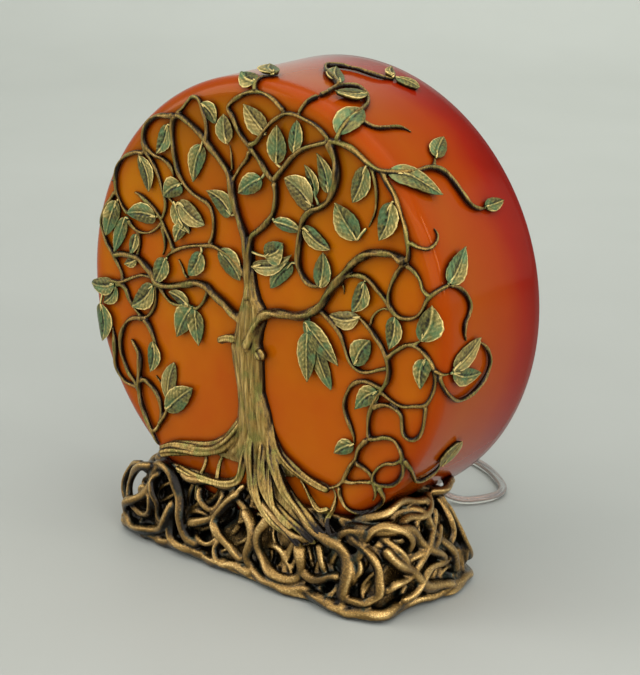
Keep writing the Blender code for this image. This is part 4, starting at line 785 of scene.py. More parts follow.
ROOTS = [
    (2.9, [(-58, -37, 44), (-61, -38, 36), (-64, -40, 29), (-73, -40, 22), (-80, -39, 17), (-82, -38, 11),
      (-76, -40, 6), (-66, -42, 6), (-56, -42, 10), (-50, -42, 18), (-48, -41, 26)]),
    (3.2, [(-72, -34, 38), (-66, -37, 38), (-58, -38, 42), (-48, -39, 41), (-43, -41, 31), (-39, -43, 20),
      (-34, -44, 12), (-28, -44, 9)]),
    (2.6, [(-48, -41, 25), (-48, -42, 17), (-45, -43, 9), (-36, -44, 5), (-24, -45, 5)]),
    (2.8, [(-45, -39, 43), (-32, -39, 41), (-22, -39, 42), (-8, -40, 45)]),
    (2.8, [(-36, -43, 18), (-27, -43, 21), (-18, -42, 28), (-9, -41, 36), (-4, -41, 42)]),
    (2.8, [(-7, -41, 37), (-13, -42, 30), (-17, -43, 24), (-12, -44, 18), (-4, -45, 14), (3, -45, 9)]),
    (3.0, [(0, -41, 34), (5, -42, 28), (7, -43, 20), (6, -44, 12), (8, -44.5, 6)]),
    (3.0, [(18, -42, 36), (13.5, -43, 27), (13.5, -44, 17), (19, -45, 9), (28, -45, 8), (37, -44.5, 11),
      (39.5, -44, 18), (38, -43, 27)]),
    (3.4, [(9, -40, 44), (17, -41.5, 38), (25, -42.5, 33), (35, -42, 31), (45, -42, 32)]),
    (3.6, [(33, -40, 44), (43, -41, 38), (54, -42, 34.5), (63, -43, 31), (67.5, -44, 24), (68, -45, 15),
      (68, -46, 7)]),
    (2.8, [(40, -44, 14), (48, -44, 13), (57, -44, 16), (66, -44, 18)]),
    (2.8, [(44, -45, 5), (54, -47, 5), (64, -47, 5), (70, -46, 10), (79, -44, 9), (86, -41, 14),
      (83, -41, 22), (80, -41, 30), (75, -41, 35), (67, -41, 38)]),
    (3.2, [(64, -39, 40), (74, -38, 43), (84, -32, 43), (88, -22, 40), (90, -10, 30), (92, 2, 20)]),
    (3.2, [(76, -24, 46), (82, -12, 46), (86, -4, 38), (89, 6, 24), (91, 14, 10)]),
    (3.4, [(70, 6, 50), (76, 14, 46), (80, 18, 34), (83, 24, 22), (86, 27, 9)]),
    (3.2, [(86, -38, 36), (90, -30, 26), (91, -18, 16), (92, -4, 9), (93, 8, 5)]),
    (3.0, [(-70, -20, 42), (-78, -8, 34), (-84, 6, 20), (-86, 18, 8)]),
    (3.0, [(-80, -24, 28), (-86, -14, 18), (-89, 0, 9)]),
]

BASE_RINGS = [
    (1.85, [(-89, -35), (-70, -40), (-45, -42.5), (-18, -45), (8, -46), (30, -48.5), (48, -46.5),
                   (62, -50), (80, -47), (89, -40), (88, -22), (91, -5), (95, 6), (91, 22), (84, 32),
                   (60, 36.5), (20, 37), (-20, 37), (-60, 36), (-84, 28), (-90, 8), (-92, -16)]),
    (13.0, [(-85, -34), (-69, -37.5), (-45, -39.5), (-18, -41), (8, -42), (30, -42.5), (48, -42),
            (62, -43), (78, -42), (87, -36), (88, -20), (90, -5), (92, 6), (88, 20), (82, 29),
            (60, 34), (20, 35), (-20, 35), (-60, 34), (-81, 26), (-86, 8), (-87, -14)]),
    (32.0, [(-74, -32), (-64, -36.5), (-45, -38), (-18, -38.5), (8, -38.5), (30, -39), (48, -39),
            (62, -39.5), (76, -38), (84, -32), (86, -18), (86, -5), (84, 6), (81, 17), (77, 26),
            (60, 31), (20, 33), (-20, 33), (-60, 31), (-73, 24), (-77, 8), (-77, -14)]),
    (46.0, [(-66, -30), (-61, -34.5), (-45, -36.5), (-18, -37), (8, -37), (30, -37), (48, -37),
                (60, -37), (71, -34.5), (78, -29), (80, -16), (79, -5), (77, 6), (74, 15), (71, 22),
                (60, 28), (20, 30), (-20, 30), (-60, 28), (-66, 22), (-69, 8), (-69, -14)]),
]

# Small tendrils that only the looks have: width, then the route.
TENDRILS = [
    (1.6, [(-49, 16), (-46, 13), (-44, 9.5), (-41.5, 7.5)]),
    (2.2, [(91, 49), (95, 47), (99, 46.5), (102, 49.5), (103, 53.5), (101, 57)]),
    (1.6, [(71, 6.5), (72, 10), (75, 13.5), (79, 15.5), (83, 15)]),
    (1.6, [(-65, -47), (-60, -51), (-57, -54.5)]),
    (1.5, [(-55, 46.5), (-50, 42), (-47.5, 37)]),
    (1.5, [(-13.5, 65), (-14, 72), (-15.6, 78)]),
    (1.5, [(53, 25), (54.5, 21), (54, 17)]),
    (1.6, [(-90, 50), (-92.5, 48.5), (-95.5, 47)]),
    (2.5, [(77.5, -69.5), (78.2, -76.8), (74.5, -82.9), (66.5, -87), (59, -85.9), (55, -81), (54.6, -76)]),
]

# Strands of the trunk's foot and its stubs: radius, then points (x, y, z).
TRUNK_STRANDS = [
    (3.2, [(-2, -37.2, 88), (-6, -37, 77), (-12, -36.8, 67.5), (-20, -36.7, 60.5), (-30, -36.8, 56.5),
      (-41, -37, 54.5), (-50, -37.5, 52.5), (-58, -38, 49)]),
    (2.0, [(-7, -36.2, 84), (-11.5, -36, 72), (-18.5, -35.8, 64.5), (-28, -35.8, 60.2), (-39, -36, 57.6),
      (-49, -36.3, 55.6), (-59, -37, 51)]),
    (2.3, [(-1, -38, 76), (-2.6, -38.4, 64), (-2.6, -38.8, 55), (-5, -39.2, 48.5), (-12, -39.6, 45),
      (-22, -39.4, 43.4), (-33, -39, 43), (-46, -38.6, 44.5)]),
    (1.8, [(-31, -36.6, 56), (-30, -37.6, 49.5), (-31.5, -38.6, 43)]),
    (1.8, [(-17.5, -37.2, 60), (-19.8, -38.2, 52), (-19, -39.2, 44)]),
    (2.7, [(1, -38, 86), (2, -38.6, 71), (4, -39.2, 60), (6, -40, 52), (9, -41, 45), (14, -42, 39),
      (22, -43, 34.5), (31, -43.5, 31.5), (40, -44, 27)]),
    (2.5, [(6, -38.2, 80), (9, -39, 67), (11, -40, 57), (14, -41, 49), (20, -42, 43), (28, -42.6, 38.5),
      (38, -43, 35), (48, -43.4, 31)]),
    (2.9, [(9, -37.6, 82), (13, -38.2, 70.5), (17.5, -38.8, 62), (22, -39.3, 55), (28, -40, 49),
      (35, -40.6, 44.5), (44, -41.4, 39), (53, -42.4, 35)]),
    (2.5, [(10, -36.9, 84), (14, -36.6, 73), (20, -36.3, 66), (27, -36.2, 61.8), (35, -36.2, 58.8),
      (43, -36.3, 57), (50, -36.3, 56.2)]),
    (1.6, [(12, -40, 67), (15, -41, 57), (18, -42, 49), (21, -43, 43), (27, -44, 38), (34, -44.6, 35)]),
    (1.5, [(-3, -38.6, 82), (0, -39.4, 66), (3, -40.2, 56), (5, -41.4, 48), (10, -42.6, 41)]),
    (2.3, [(-8, -36.6, 119), (-13, -36.9, 118.4), (-17, -37.2, 117), (-19.6, -37.4, 115.4)]),
    (2.9, [(4.6, -37.2, 116), (7.4, -37.4, 114), (8.9, -37.3, 111.4)]),
    (1.7, [(49.2, -36.4, 57), (51.8, -36.6, 53.2), (51.8, -37.4, 47.6), (50.6, -39.2, 42.5), (54, -41.4, 38),
      (57, -42, 33)]),
    (1.8, [(73.5, -33.6, 51), (68, -35, 46.5), (62, -38, 41), (57, -41.2, 36.5), (50, -42.4, 32)]),
    (1.6, [(30, -37, 56), (39.5, -38.6, 49), (46.5, -39.6, 46), (52, -38.6, 48)]),
    (1.7, [(-31, -37.5, 44), (-34, -39, 38), (-31, -41, 31)]),
]

# Finer roots over the base: radius, then points (x, y, z).
FINE_ROOTS = [
    (1.9, [(-32, -39, 38), (-30, -40, 34), (-26, -40.5, 30), (-21, -40.5, 28), (-18, -40, 32),
      (-17, -39, 38)]),
    (1.9, [(-33, -42, 12), (-22, -43, 12), (-15, -42, 17)]),
    (2.4, [(-88, -34.5, 4.4), (-72, -38.5, 4.2), (-55, -41, 4), (-40, -42.5, 4), (-22, -44, 4),
      (-8, -44, 4.2), (10, -45.5, 4)]),
    (1.8, [(-15, -43, 16), (-17, -43.5, 11), (-15, -44, 7), (-10, -44.5, 5), (-4, -44.5, 6), (0, -44, 9)]),
    (2.0, [(50, -42.5, 30), (52, -43, 24), (54, -43.5, 19), (56, -44, 16)]),
    (2.2, [(45, -46, 4.5), (50, -46.5, 4), (56, -48, 4), (62, -49, 4), (67, -48.5, 4.6), (69, -46.5, 8)]),
    (2.0, [(73, -42, 30), (75, -42, 24), (73, -42.5, 20), (70, -43.5, 14)]),
    (2.2, [(80, -35, 41), (86, -33, 36), (90, -30, 30), (91.5, -27, 24)]),
    (1.8, [(2, -39.5, 47), (6, -41, 44), (12, -41.5, 43), (10, -41, 38), (5, -40.5, 37)]),
    (1.8, [(-2, -39.5, 46), (-4, -40, 40), (-1, -40, 35), (5, -40.5, 31)]),
    (2.2, [(80, -38, 37), (84, -33, 33), (87.5, -28, 26), (89.5, -22, 17), (90.5, -16, 12)]),
    (2.2, [(80, 12, 46), (83, 14, 38), (86.5, 14, 30), (88, 10, 26), (88.5, 2, 26), (87.5, -2, 30)]),
    (2.2, [(78, 15, 45), (82, 18, 36), (84.5, 23, 28), (85.5, 27, 20), (86, 33, 9)]),
    (2.2, [(-66, -30, 44), (-74, -28, 38), (-80, -22, 30), (-84, -12, 22), (-87, 2, 14), (-85, 16, 6),
      (-78, 22, 3)]),
    (3.0, [(-58, 31, 40), (-47, 33, 34), (-30, 34.5, 26), (-12, 35.5, 15), (2, 36, 6)]),
    (2.6, [(70, 29, 42), (52, 32.5, 36), (38, 34.5, 24), (30, 36, 9)]),
    (2.6, [(-60, 35, 7), (-40, 35.5, 14), (-20, 34.5, 24), (0, 33.5, 30), (22, 33.5, 26), (42, 35, 14),
      (58, 35.5, 6)]),
    (2.6, [(80, 25, 30), (66, 33, 20), (50, 36, 12), (36, 36, 5.5)]),
    (2.4, [(-70, 18, 34), (-75, 22, 26), (-76, 26, 18), (-70, 30, 12), (-58, 33.5, 8)]),
    (2.4, [(58, -40, 34), (62, -41, 39), (68, -41, 41), (73, -41, 38), (74, -41.5, 32), (70, -42, 27)]),
    (2.6, [(74, -39, 36), (78, -38, 43), (83, -34, 46.5), (87, -28, 44), (89, -24, 37), (88, -24, 30)]),
    (2.5, [(66, -36, 43), (72, -34, 47.5), (78, -28, 49), (80, -20, 52), (80, -10, 51), (82, 0, 48)]),
    (2.2, [(80, -34, 40), (83, -29, 36), (86, -23, 38), (86.5, -17, 43), (84, -11, 46), (85, -4, 42)]),
    (2.4, [(80, 6, 50), (80, 16, 50.5), (77, 25, 50), (72, 31, 47)]),
    (2.3, [(86, -30, 42), (84.5, -22, 45), (85.5, -12, 44), (84, -2, 47), (80, 4, 50)]),
    (2.3, [(72, -41, 36), (80, -37.5, 33), (86.5, -30, 28), (90, -20, 27), (90.5, -8, 30), (88, 4, 36)]),
    (2.4, [(90, -30, 8), (92, -20, 13), (91.5, -8, 19), (89.5, 4, 20), (88, 14, 15)]),
    (2.3, [(-64, -39.5, 41), (-71, -38.5, 39.5), (-77.5, -37.5, 34), (-80, -37, 26), (-78, -37.5, 17),
      (-71, -39, 12.5), (-64, -40, 15), (-61, -40.5, 21), (-64, -40, 27), (-69.5, -39, 28.5),
      (-73, -38.5, 24)]),
    (2.0, [(-76, -35, 38), (-83, -33, 35), (-86.5, -32.5, 29), (-87.5, -32, 22), (-85, -33.5, 14),
      (-79, -37, 9)]),
    (1.9, [(-59, -40, 39), (-62.5, -40, 34), (-60, -40.5, 28), (-56.5, -41, 22.5), (-57.5, -41, 16),
      (-53, -41.5, 10)]),
    (2.3, [(84, -38, 12), (88, -33, 19), (91, -24, 21), (91, -14, 27), (88.5, -6, 36), (85, 2, 44)]),
]

# Which of those strands have a thin sheet between them.
WEBS = [(0, 1), (10, 5), (5, 6), (6, 7)]


def route_ends(routes):
    """For each route, whether its two ends meet another route."""
    tracks = [smooth(route, 1.5) for _, route in routes]
    joined = []
    for i, track in enumerate(tracks):
        others = np.vstack([t for k, t in enumerate(tracks) if k != i])
        ends = []
        for end in (track[0], track[-1]):
            trunk_near = abs(end[0]) < 12 and -12 < end[1] < 30
            ends.append(bool(np.linalg.norm(others - end, axis=1).min() < 3.2 or trunk_near))
        joined.append(ends)
    return joined


def vine(piece, number, width, route, joined):
    """One branch or vine: thicker where it starts, flared where it joins and thin at a free end."""
    flat = smooth(route, 1.0)
    count = len(flat)
    along = np.arange(count, dtype=float)
    share = along / (count - 1)
    half = 0.43 * width * (1.12 - 0.30 * share)
    half = half * (1 + 0.07 * np.sin(along / 3.7 + number) + 0.05 * np.sin(along / 1.7 + 2 * number))
    for end, distance in zip(joined, (along, along[::-1])):
        if end:
            half = half * (1 + 0.38 * np.exp(-distance / 2.2))
        else:
            half = half * (0.38 + 0.62 * ease(distance, -2, 9))
    tall = 1.12 * half + 0.15
    lift = tall - 0.15 + 0.22 * (number % 4) * (1 - np.exp(-np.minimum(along, along[::-1]) / 3))
    wobble = 0.3 * np.sin(along / 5.3 + 1.7 * number)
    heading = unit(np.gradient(flat, axis=0))
    u = flat[:, 0] - heading[:, 1] * wobble
    v = flat[:, 1] + heading[:, 0] * wobble
    line, normal = on_drum(u, v, lift)
    sweep(piece, line, normal, half, tall, sides=12, grooves=2 + number % 2, depth=0.10,
          twist=0.10 + 0.02 * (number % 3))


def leaf(piece, number, stalk, tip, width, spots):
    """One leaf on a short stalk: pointed, slightly toothed, with a raised midrib, veins and rim.

    spots are points of the vines; the stalk starts at the nearest one."""
    start, end = np.array(stalk, float), np.array(tip, float)
    length = float(np.linalg.norm(end - start))
    axis = (end - start) / length
    cross = np.array([-axis[1], axis[0]])
    rows, columns = 45, 25
    t = np.linspace(0, 1, rows)[:, None]
    s = np.linspace(-1, 1, columns)[None, :]
    swing = math.sin(12.9 * number + 1.3)
    other = math.cos(7.7 * number + 0.4)
    blunt = 0.62 + 0.10 * swing
    pointed = 0.92 + 0.12 * other
    peak_at = blunt / (blunt + pointed)
    outline = (t ** blunt) * ((1 - t) ** pointed) / (peak_at ** blunt * (1 - peak_at) ** pointed)
    teeth = (0.5 + 0.5 * np.sin(2 * math.pi * (t * (4.6 + other) + 0.2 * s + 0.15 * number))) ** 1.5
    saw = 1 + 0.045 * (teeth - 0.4) * np.abs(s) ** 2 * ease(t, 0.05, 0.2) * ease(1 - t, 0.03, 0.15)
    half = np.maximum(width * 0.55 * outline, 0.25) * saw
    x = s * half
    bow = (0.10 * swing * np.sin(math.pi * t) + 0.07 * other * t * t) * length
    u = start[0] + axis[0] * t * length + cross[0] * (x + bow)
    v = start[1] + axis[1] * t * length + cross[1] * (x + bow)
    distance = np.abs(x)
    inside = np.sqrt(np.clip(np.sin(math.pi * t), 0, 1))
    dome = (0.85 * np.sin(math.pi * np.clip(np.abs(s) * 0.8 + 0.1, 0, 1)) - 0.30) * inside
    ridge = np.exp(-(distance / 0.36) ** 2) * (1 - 0.5 * t)
    furrow = np.exp(-((distance - 0.95) / 0.45) ** 2) * inside
    lean = 0.95 + 0.15 * swing * np.sign(s)
    phase = (t * length - lean * distance) / (2.75 + 0.35 * other)
    phase = phase + 0.22 * np.sign(s) + 0.16 * np.sin(7 * t + number)
    vein = (0.5 + 0.5 * np.cos(2 * math.pi * phase)) ** 3
    vein = vein * np.clip(distance / 0.7 - 0.3, 0, 1) * (1 - np.abs(s) ** 6)
    vein = vein * (0.75 + 0.25 * np.sin(5 * t + number))
    rim = ease(np.abs(s), 0.78, 1.0)
    curl = 0.9 * (t - 0.3) ** 2 * (1 + other) + 0.10 * swing * x + 0.35 * other * (s * inside) ** 2
    base = 0.55 + 0.4 * (number % 4) + curl
    top = base + 1.05 + dome + 0.60 * ridge - 0.25 * furrow + 0.30 * vein + 0.38 * rim
    upper, _ = on_drum(u, v, top)
    middle = (start + end) / 2
    lower, _ = on_drum(middle[0] + 0.80 * (u - middle[0]), middle[1] + 0.80 * (v - middle[1]),
                       np.maximum(base - 0.9, 0.0) + 0.0 * x)
    # lit lightens one half of the leaf and darkens the other, and lit_edge brightens only that side's rim:
    # painted light and shade. The underside and sloping walls get a dark value of -0.2: painted shade under
    # the leaf.
    lit = 0.20 * np.sign(s) * (0.6 + 0.4 * abs(swing)) * (1 if swing > 0 else -1) * inside
    lit_edge = 0.35 + 0.65 * (s * swing > 0)
    height = 0.43 + 0.55 * ridge - 0.24 * furrow + 0.20 * vein + 0.46 * rim * lit_edge + 0.7 * lit
    crest = np.concatenate([np.clip(height, 0, 1).ravel(), np.full(rows * columns, -0.2)])
    flow = np.stack([0.5 * t * length + 0 * x, 0.8 * x + 0 * t, 3.1 * number + 0 * x], -1).reshape(-1, 3)
    piece.add(np.stack([upper, lower]), sheet_faces(rows, columns), crest, np.concatenate([flow, flow]))
    joint = spots[np.argmin(np.linalg.norm(spots - start, axis=1))]
    inner = start + axis * length * 0.22
    stem = smooth([joint, (joint + start) / 2 + cross * 0.5 * swing, start, inner], 0.8)
    share = np.linspace(0, 1, len(stem))
    lift = 1.3 + (base[0, 0] + 0.2) * share
    line, normal = on_drum(stem[:, 0], stem[:, 1], lift)
    sweep(piece, line, normal, 0.95 - 0.45 * share, 0.85 - 0.35 * share, sides=8, grooves=2, depth=0.05)


def trunk_edges(v):
    """Left and right edge of the trunk at heights v."""
    left = np.interp(-v, [-28, -20, -12, -6, 0, 5, 10, 16, 20, 30, 40, 50, 60, 65, 70, 74, 77, 80],
                     [-5.2, -5.0, -5.0, -5.6, -8, -9.6, -10.4, -11.6, -13.4, -11.6, -8.8, -8.6, -10, -12, -16,
                      -22, -25, -25])
    right = np.interp(-v, [-28, -20, -12, -6, -2, 2, 5, 10, 16, 20, 30, 40, 50, 60, 65, 70, 74, 77, 80],
                      [0.2, 0.8, 2.4, 4.6, 7.6, 8.6, 8.2, 6.4, 5.6, 6.6, 7, 7.6, 11.4, 14, 16, 19.5, 24,
                       26, 26])
    return left, right


def trunk_height(f, v):
    """Height of the trunk above the face at a share f of the way from its middle to its edge."""
    sway = 0.22 * np.sin(v / 21.0) + 0.09 * np.sin(v / 8.0 + 1.0)
    across = f + sway * (1 - f * f)
    deep = np.zeros_like(across + v)
    for waves, turn, size in ((2.6, 0.020, 0.75), (4.4, -0.035, 0.50), (7.3, 0.05, 0.34),
                              (12.1, -0.06, 0.10)):
        wave = np.abs(np.sin(math.pi * (waves * across / 1.6 + turn * v + waves)))
        deep = deep + size * (wave ** 0.6 - 0.7)
    tall = np.interp(-v, [-28, -12, 0, 20, 60, 80], [2.6, 3.6, 4.6, 5.0, 5.2, 4.6])
    dome = np.clip(1 - np.abs(f) ** 2.4, 0, 1) ** 0.5
    return np.maximum(tall * dome + deep * np.clip(dome * 1.4, 0, 1), 0.0)


def web(piece, first, second):
    """A thin sheet filling between two of the foot's strands, lower than both."""
    count, across = 60, 5
    edges = []
    for route in (first, second):
        line = smooth(route, 0.9)
        steps = np.linspace(0, len(line) - 1, count)
        edges.append(np.column_stack([np.interp(steps, np.arange(len(line)), line[:, k]) for k in range(3)]))
    share = np.linspace(0, 1, across)[None, :, None]
    front = edges[0][:, None, :] * (1 - share) + edges[1][:, None, :] * share
    front = front + np.array([0.0, 0.5, 0.0]) + np.array([0.0, 1.1, 0.0]) * np.sin(math.pi * share)
    rear = front + np.array([0.0, 3.2, 1.4])
    piece.add(np.stack([front, rear]), sheet_faces(count, across), 0.4)


def add_trunk(piece):
    """The trunk as a grooved surface over the face, its stubs and its spreading roots."""
    rows, columns = 190, 73
    v = np.linspace(28, -79, rows)[:, None]
    f = np.linspace(-1, 1, columns)[None, :]
    left, right = trunk_edges(v)
    u = (left + right) / 2 + f * (right - left) / 2
    lift = trunk_height(f, v)
    fade = ease(-v, -28, -18) * (1 - 0.55 * ease(-v, 72, 79))
    upper, _ = on_drum(u, v + 0 * u, lift * (0.35 + 0.65 * fade) + 0.15)
    lower, _ = on_drum(u, v + 0 * u, np.zeros_like(lift) - 1.0)
    piece.add(np.stack([upper, lower]), sheet_faces(rows, columns), 0.5)
    for first, second in WEBS:
        web(piece, TRUNK_STRANDS[first][1], TRUNK_STRANDS[second][1])
    for radius, route in TRUNK_STRANDS:
        line = smooth(route, 0.9)
        steps = np.arange(len(line), dtype=float)
        share = steps / steps[-1]
        half = radius * (1.12 - 0.30 * share) * (1 + 0.06 * np.sin(steps / 3.1 + radius * 9))
        if line[0, 2] < 100:
            rise = ease(steps, 0, 26)
            half = half * (0.45 + 0.55 * rise)
            line[:, 1] += 3.4 * (1 - rise)
        up = np.tile([0.0, -1.0, 0.0], (len(line), 1))
        sweep(piece, line, up, half, half, sides=20, grooves=4 + len(route) % 2, depth=0.22, twist=0.04)


# ------------------------------------------------------------------ the base

def base_outline(height):
    """The base's outline at a height, from the outlines at four heights."""
    levels = [ring[0] for ring in BASE_RINGS]
    k = min(max(int(np.searchsorted(levels, height)) - 1, 0), len(levels) - 2)
    share = (height - levels[k]) / (levels[k + 1] - levels[k])
    return (1 - share) * np.array(BASE_RINGS[k][1], float) + share * np.array(BASE_RINGS[k + 1][1], float)


def closed_smooth(points, count):
    """A smooth closed line through points."""
    p = np.vstack([points[-3:], points, points[:3]])
    track = smooth(p, 1.0)
    start = np.argmin(np.linalg.norm(track[:len(track) // 2] - points[0], axis=1))
    tail = track[len(track) // 2:]
    stop = len(track) // 2 + np.argmin(np.linalg.norm(tail - points[0], axis=1))
    loop = track[start:stop + 1]
    reach = np.concatenate([[0], np.cumsum(np.linalg.norm(np.diff(loop, axis=0), axis=1))])
    even = np.linspace(0, reach[-1], count, endpoint=False)
    return np.column_stack([np.interp(even, reach, column) for column in loop.T])


def lumps(x, y, z):
    """Slow uneven swelling for cast surfaces."""
    return (np.sin(x / 7.1 + 0.6 * np.sin(z / 5.0)) * np.cos(z / 5.7 + y / 9.0)
            + 0.6 * np.sin(x / 3.3 + z / 3.9 + y / 4.1) + 0.35 * np.cos(x / 1.9 - z / 2.3 + y / 2.7))


def tangle():
    """Smaller roots lying deeper, and the rough lip round the foot: radius and line of each."""
    heights = np.linspace(2, 46, 12)
    count = 520
    table = np.stack([closed_smooth(base_outline(min(z, 45.9)), count) for z in heights])
    centre = table.mean((0, 1))

    def on_base(place, z, lift):
        """Points over the side of the base; place runs from 0 to 1 round it."""
        z = np.clip(z, 2, 45.9)
        row = (z - 2) / 4.0
        low = np.minimum(row.astype(int), len(heights) - 2)
        column = np.mod(place, 1.0) * count
        first = column.astype(int) % count
        share = (column - np.floor(column))[:, None]
        part = (row - low)[:, None]
        ring_low = table[low, first] * (1 - share) + table[low, (first + 1) % count] * share
        ring_high = table[low + 1, first] * (1 - share) + table[low + 1, (first + 1) % count] * share
        flat = ring_low * (1 - part) + ring_high * part
        flat = flat + unit(flat - centre) * np.asarray(lift).reshape(-1, 1)
        return np.column_stack([flat, z])

    lines = []
    round_way = np.linspace(0, 1, 500)
    lip = on_base(round_way, 4.4 + 0.9 * np.sin(round_way * 71) + 0.6 * np.sin(round_way * 167),
                  -1.9 + 0.7 * np.sin(round_way * 90))
    lines.append((3.0, lip))
    share = np.linspace(0, 1, 46)
    for k in range(64):
        lean = 0.035 * math.sin(4.1 * k)
        sway = 0.014 * np.sin(share * (5 + 3 * math.sin(2.3 * k)) + 1.9 * k)
        deep = -3.6 + 1.1 * math.sin(3.3 * k) + 0.8 * np.sin(share * 9 + k)
        height = 44 - (40 - 14 * (k % 3 == 1)) * share
        lines.append((1.7 + 0.5 * math.sin(5.7 * k), on_base(k / 64 + lean * share + sway, height, deep)))
    for k in range(30):
        turn = share * (1.55 + 0.45 * math.sin(k)) * math.pi + 2.2 * k
        wide = 6.5 + 2.0 * math.sin(2.9 * k)
        tall = 7.0 + 2.5 * math.sin(1.7 * k)
        middle = 22 + 13 * math.sin(5.3 * k)
        deep = -2.7 + 0.9 * np.sin(turn * 1.3 + k)
        lines.append((1.7 + 0.4 * math.sin(3.1 * k),
                      on_base(k / 30 + 0.01 * math.sin(7 * k) + wide / count * np.cos(turn),
                              middle + tall * np.sin(turn), deep)))
    return lines


def base_outward(points):
    """Outward direction over the base: away from its middle and somewhat upward; cast lightens surfaces
    turned this way as a painted highlight from above and darkens the others as painted shade.
    """
    return unit(points * np.array([0.75, 1.0, 0.0]) + np.array([0.0, 0.0, 22.0]))


def base_wear_and_lit_end(points):
    """Extra lightness over the base: wear near the foot, a painted highlight over the left end, and slow
    uneven variation.
    """
    x, y, z = points.T
    # The left-end term is painted light, lifting the shade that falls in that end's hollows.
    return 0.10 * ease(-z, -8, -3) + 0.10 * ease(-x, 40, 80) + 0.05 * lumps(x / 2, y / 2, z / 2)


def make_base():
    """The root base: a hollowed core, deep and raised roots and a rough foot, cast as one."""
    core = Piece()
    count = 260
    heights = np.concatenate([[1.9, 3.0, 4.5, 6.5, 8.5], np.linspace(10.5, 41, 20), [43.0, 45.0]])
    rings = []
    for z in heights:
        ring = closed_smooth(base_outline(z), count)
        centre = ring.mean(0)
        outward = unit(ring - centre)
        hollow = 5.6 * ease(z, 4.5, 11) * (1 - ease(z, 36, 44)) * (1 - 0.75 * ease(ring[:, 1], 0, 30))
        bumps = 0.75 * lumps(ring[:, 0], ring[:, 1], z) * ease(z, 1.9, 4.0)
        edge = ring - outward * (hollow - bumps)[:, None]
        rings.append(np.column_stack([edge, np.full(count, z)]))
    low_centre = np.array([[0.0, 0.0, heights[0]]])
    high_centre = np.array([[0.0, 0.0, heights[-1]]])
    points = np.vstack(rings + [low_centre, high_centre])
    faces = grid_faces(len(heights), count, wrap=True)
    bottom, top = len(heights) * count, len(heights) * count + 1
    last = (len(heights) - 1) * count
    faces += [[bottom, (j + 1) % count, j] for j in range(count)]
    faces += [[top, last + j, last + (j + 1) % count] for j in range(count)]
    core.add(points, faces, 0.5)
    made = core.finish("base_core", ROOT_PAINT)
    drum = bpy.data.meshes.new("drum_space")
    ring_count = 160
    angle = np.arange(ring_count) / ring_count * 2 * math.pi
    loops = []
    for radius, y in [(FLAT_R, FRONT_Y - 0.7)] + [
            (FLAT_R + (EDGE_R + 0.7) * math.sin(a), FRONT_Y + EDGE_R - (EDGE_R + 0.7) * math.cos(a))
            for a in np.linspace(0.2, math.pi / 2, 6)] + [(BACK_R + 0.8, 70.0)]:
        loops.append(np.column_stack([radius * np.sin(angle), np.full(ring_count, y),
                                      DRUM_Z + radius * np.cos(angle)]))
    drum_points = np.vstack(loops)
    drum_faces = grid_faces(len(loops), ring_count, wrap=True)
    drum_faces.append(list(range(ring_count))[::-1])
    drum_faces.append([len(drum_points) - ring_count + j for j in range(ring_count)])
    drum.from_pydata(drum_points * MM, [], drum_faces)
    cutter = placed("drum_space", drum)
    step = made.modifiers.new("trough", "BOOLEAN")
    step.operation, step.solver, step.object = "DIFFERENCE", "EXACT", cutter
    bpy.context.view_layer.update()
    graph = bpy.context.evaluated_depsgraph_get()
    cut_mesh = bpy.data.meshes.new_from_object(made.evaluated_get(graph))
    cut_points = np.array([vertex.co for vertex in cut_mesh.vertices]) / MM
    cut_faces = [list(face.vertices) for face in cut_mesh.polygons]
    bpy.data.objects.remove(cutter)
    bpy.data.objects.remove(made)
    whole = Piece()
    whole.add(cut_points, cut_faces, 0.5)
    for number, (radius, route) in enumerate(ROOTS + FINE_ROOTS):
        line = smooth(route, 0.9)
        steps = np.arange(len(line), dtype=float)
        hold = 1 - np.exp(-np.minimum(steps, steps[::-1]) / 7)
        along = unit(np.gradient(line, axis=0))
        outward = unit(line * np.array([1.0, 1.0, 0.0]))
        line = line + np.cross(along, outward) * (1.5 * hold * np.sin(steps / 6.3 + 2.6 * number))[:, None]
        swell = 0.9 * hold * np.sin(steps / 4.7 + 1.7 * number)
        line = line + outward * (swell - 3.4 * (1 - hold) ** 2)[:, None]
        line[:, 2] = np.maximum(line[:, 2], 1.9 + radius)
        half = radius * (1 + 0.10 * np.sin(steps / 6.1 + 2.1 * number) + 0.06 * np.sin(steps / 2.6 + number))
        ends = np.minimum(steps, steps[::-1])
        half = half * (0.9 + 0.28 * np.exp(-ends / 4))
        out = unit(np.column_stack([line[:, 0] * np.where(np.abs(line[:, 0]) > 62, 0.9, 0.12),
                                    line[:, 1], 3 + 0 * line[:, 0]]))
        sweep(whole, line, out, half, half, sides=18, grooves=2 + number % 3, depth=0.09, twist=0.05)
    for number, (radius, line) in enumerate(tangle()):
        out = unit(line * np.array([1.0, 1.0, 0.0]))
        sweep(whole, line, out, radius, radius, sides=12, grooves=2, depth=0.07, twist=0.06)
    return cast(whole, "base_roots", ROOT_PAINT, 0.55, 2, 26, base_outward, base_wear_and_lit_end, 0.42)


# ------------------------------------------------------------------ plug, switch, relief and tie

def lofted(piece, sections):
    """A closed body through sections; each is a ring of (x, y, z) points, the same number in each."""
    piece.add(np.array(sections, float), tube_faces(len(sections), len(sections[0])), 0.5)


def rounded_ring(centre, wide, high, along, corner=3.2, steps=8):
    """A rounded rectangle across x or y, as points; along is the axis that it faces."""
    points = []
    corner = min(corner, wide * 0.98, high * 0.98)
    for k, (sx, sz) in enumerate(((1, 1), (-1, 1), (-1, -1), (1, -1))):
        for i in range(steps):
            a = math.pi / 2 * (k + i / (steps - 1))
            p = sx * (wide - corner) + corner * math.cos(a)
            q = sz * (high - corner) + corner * math.sin(a)
            points.append((centre[0] + p, centre[1], centre[2] + q) if along == "y"
                          else (centre[0], centre[1] + p, centre[2] + q))
    return points


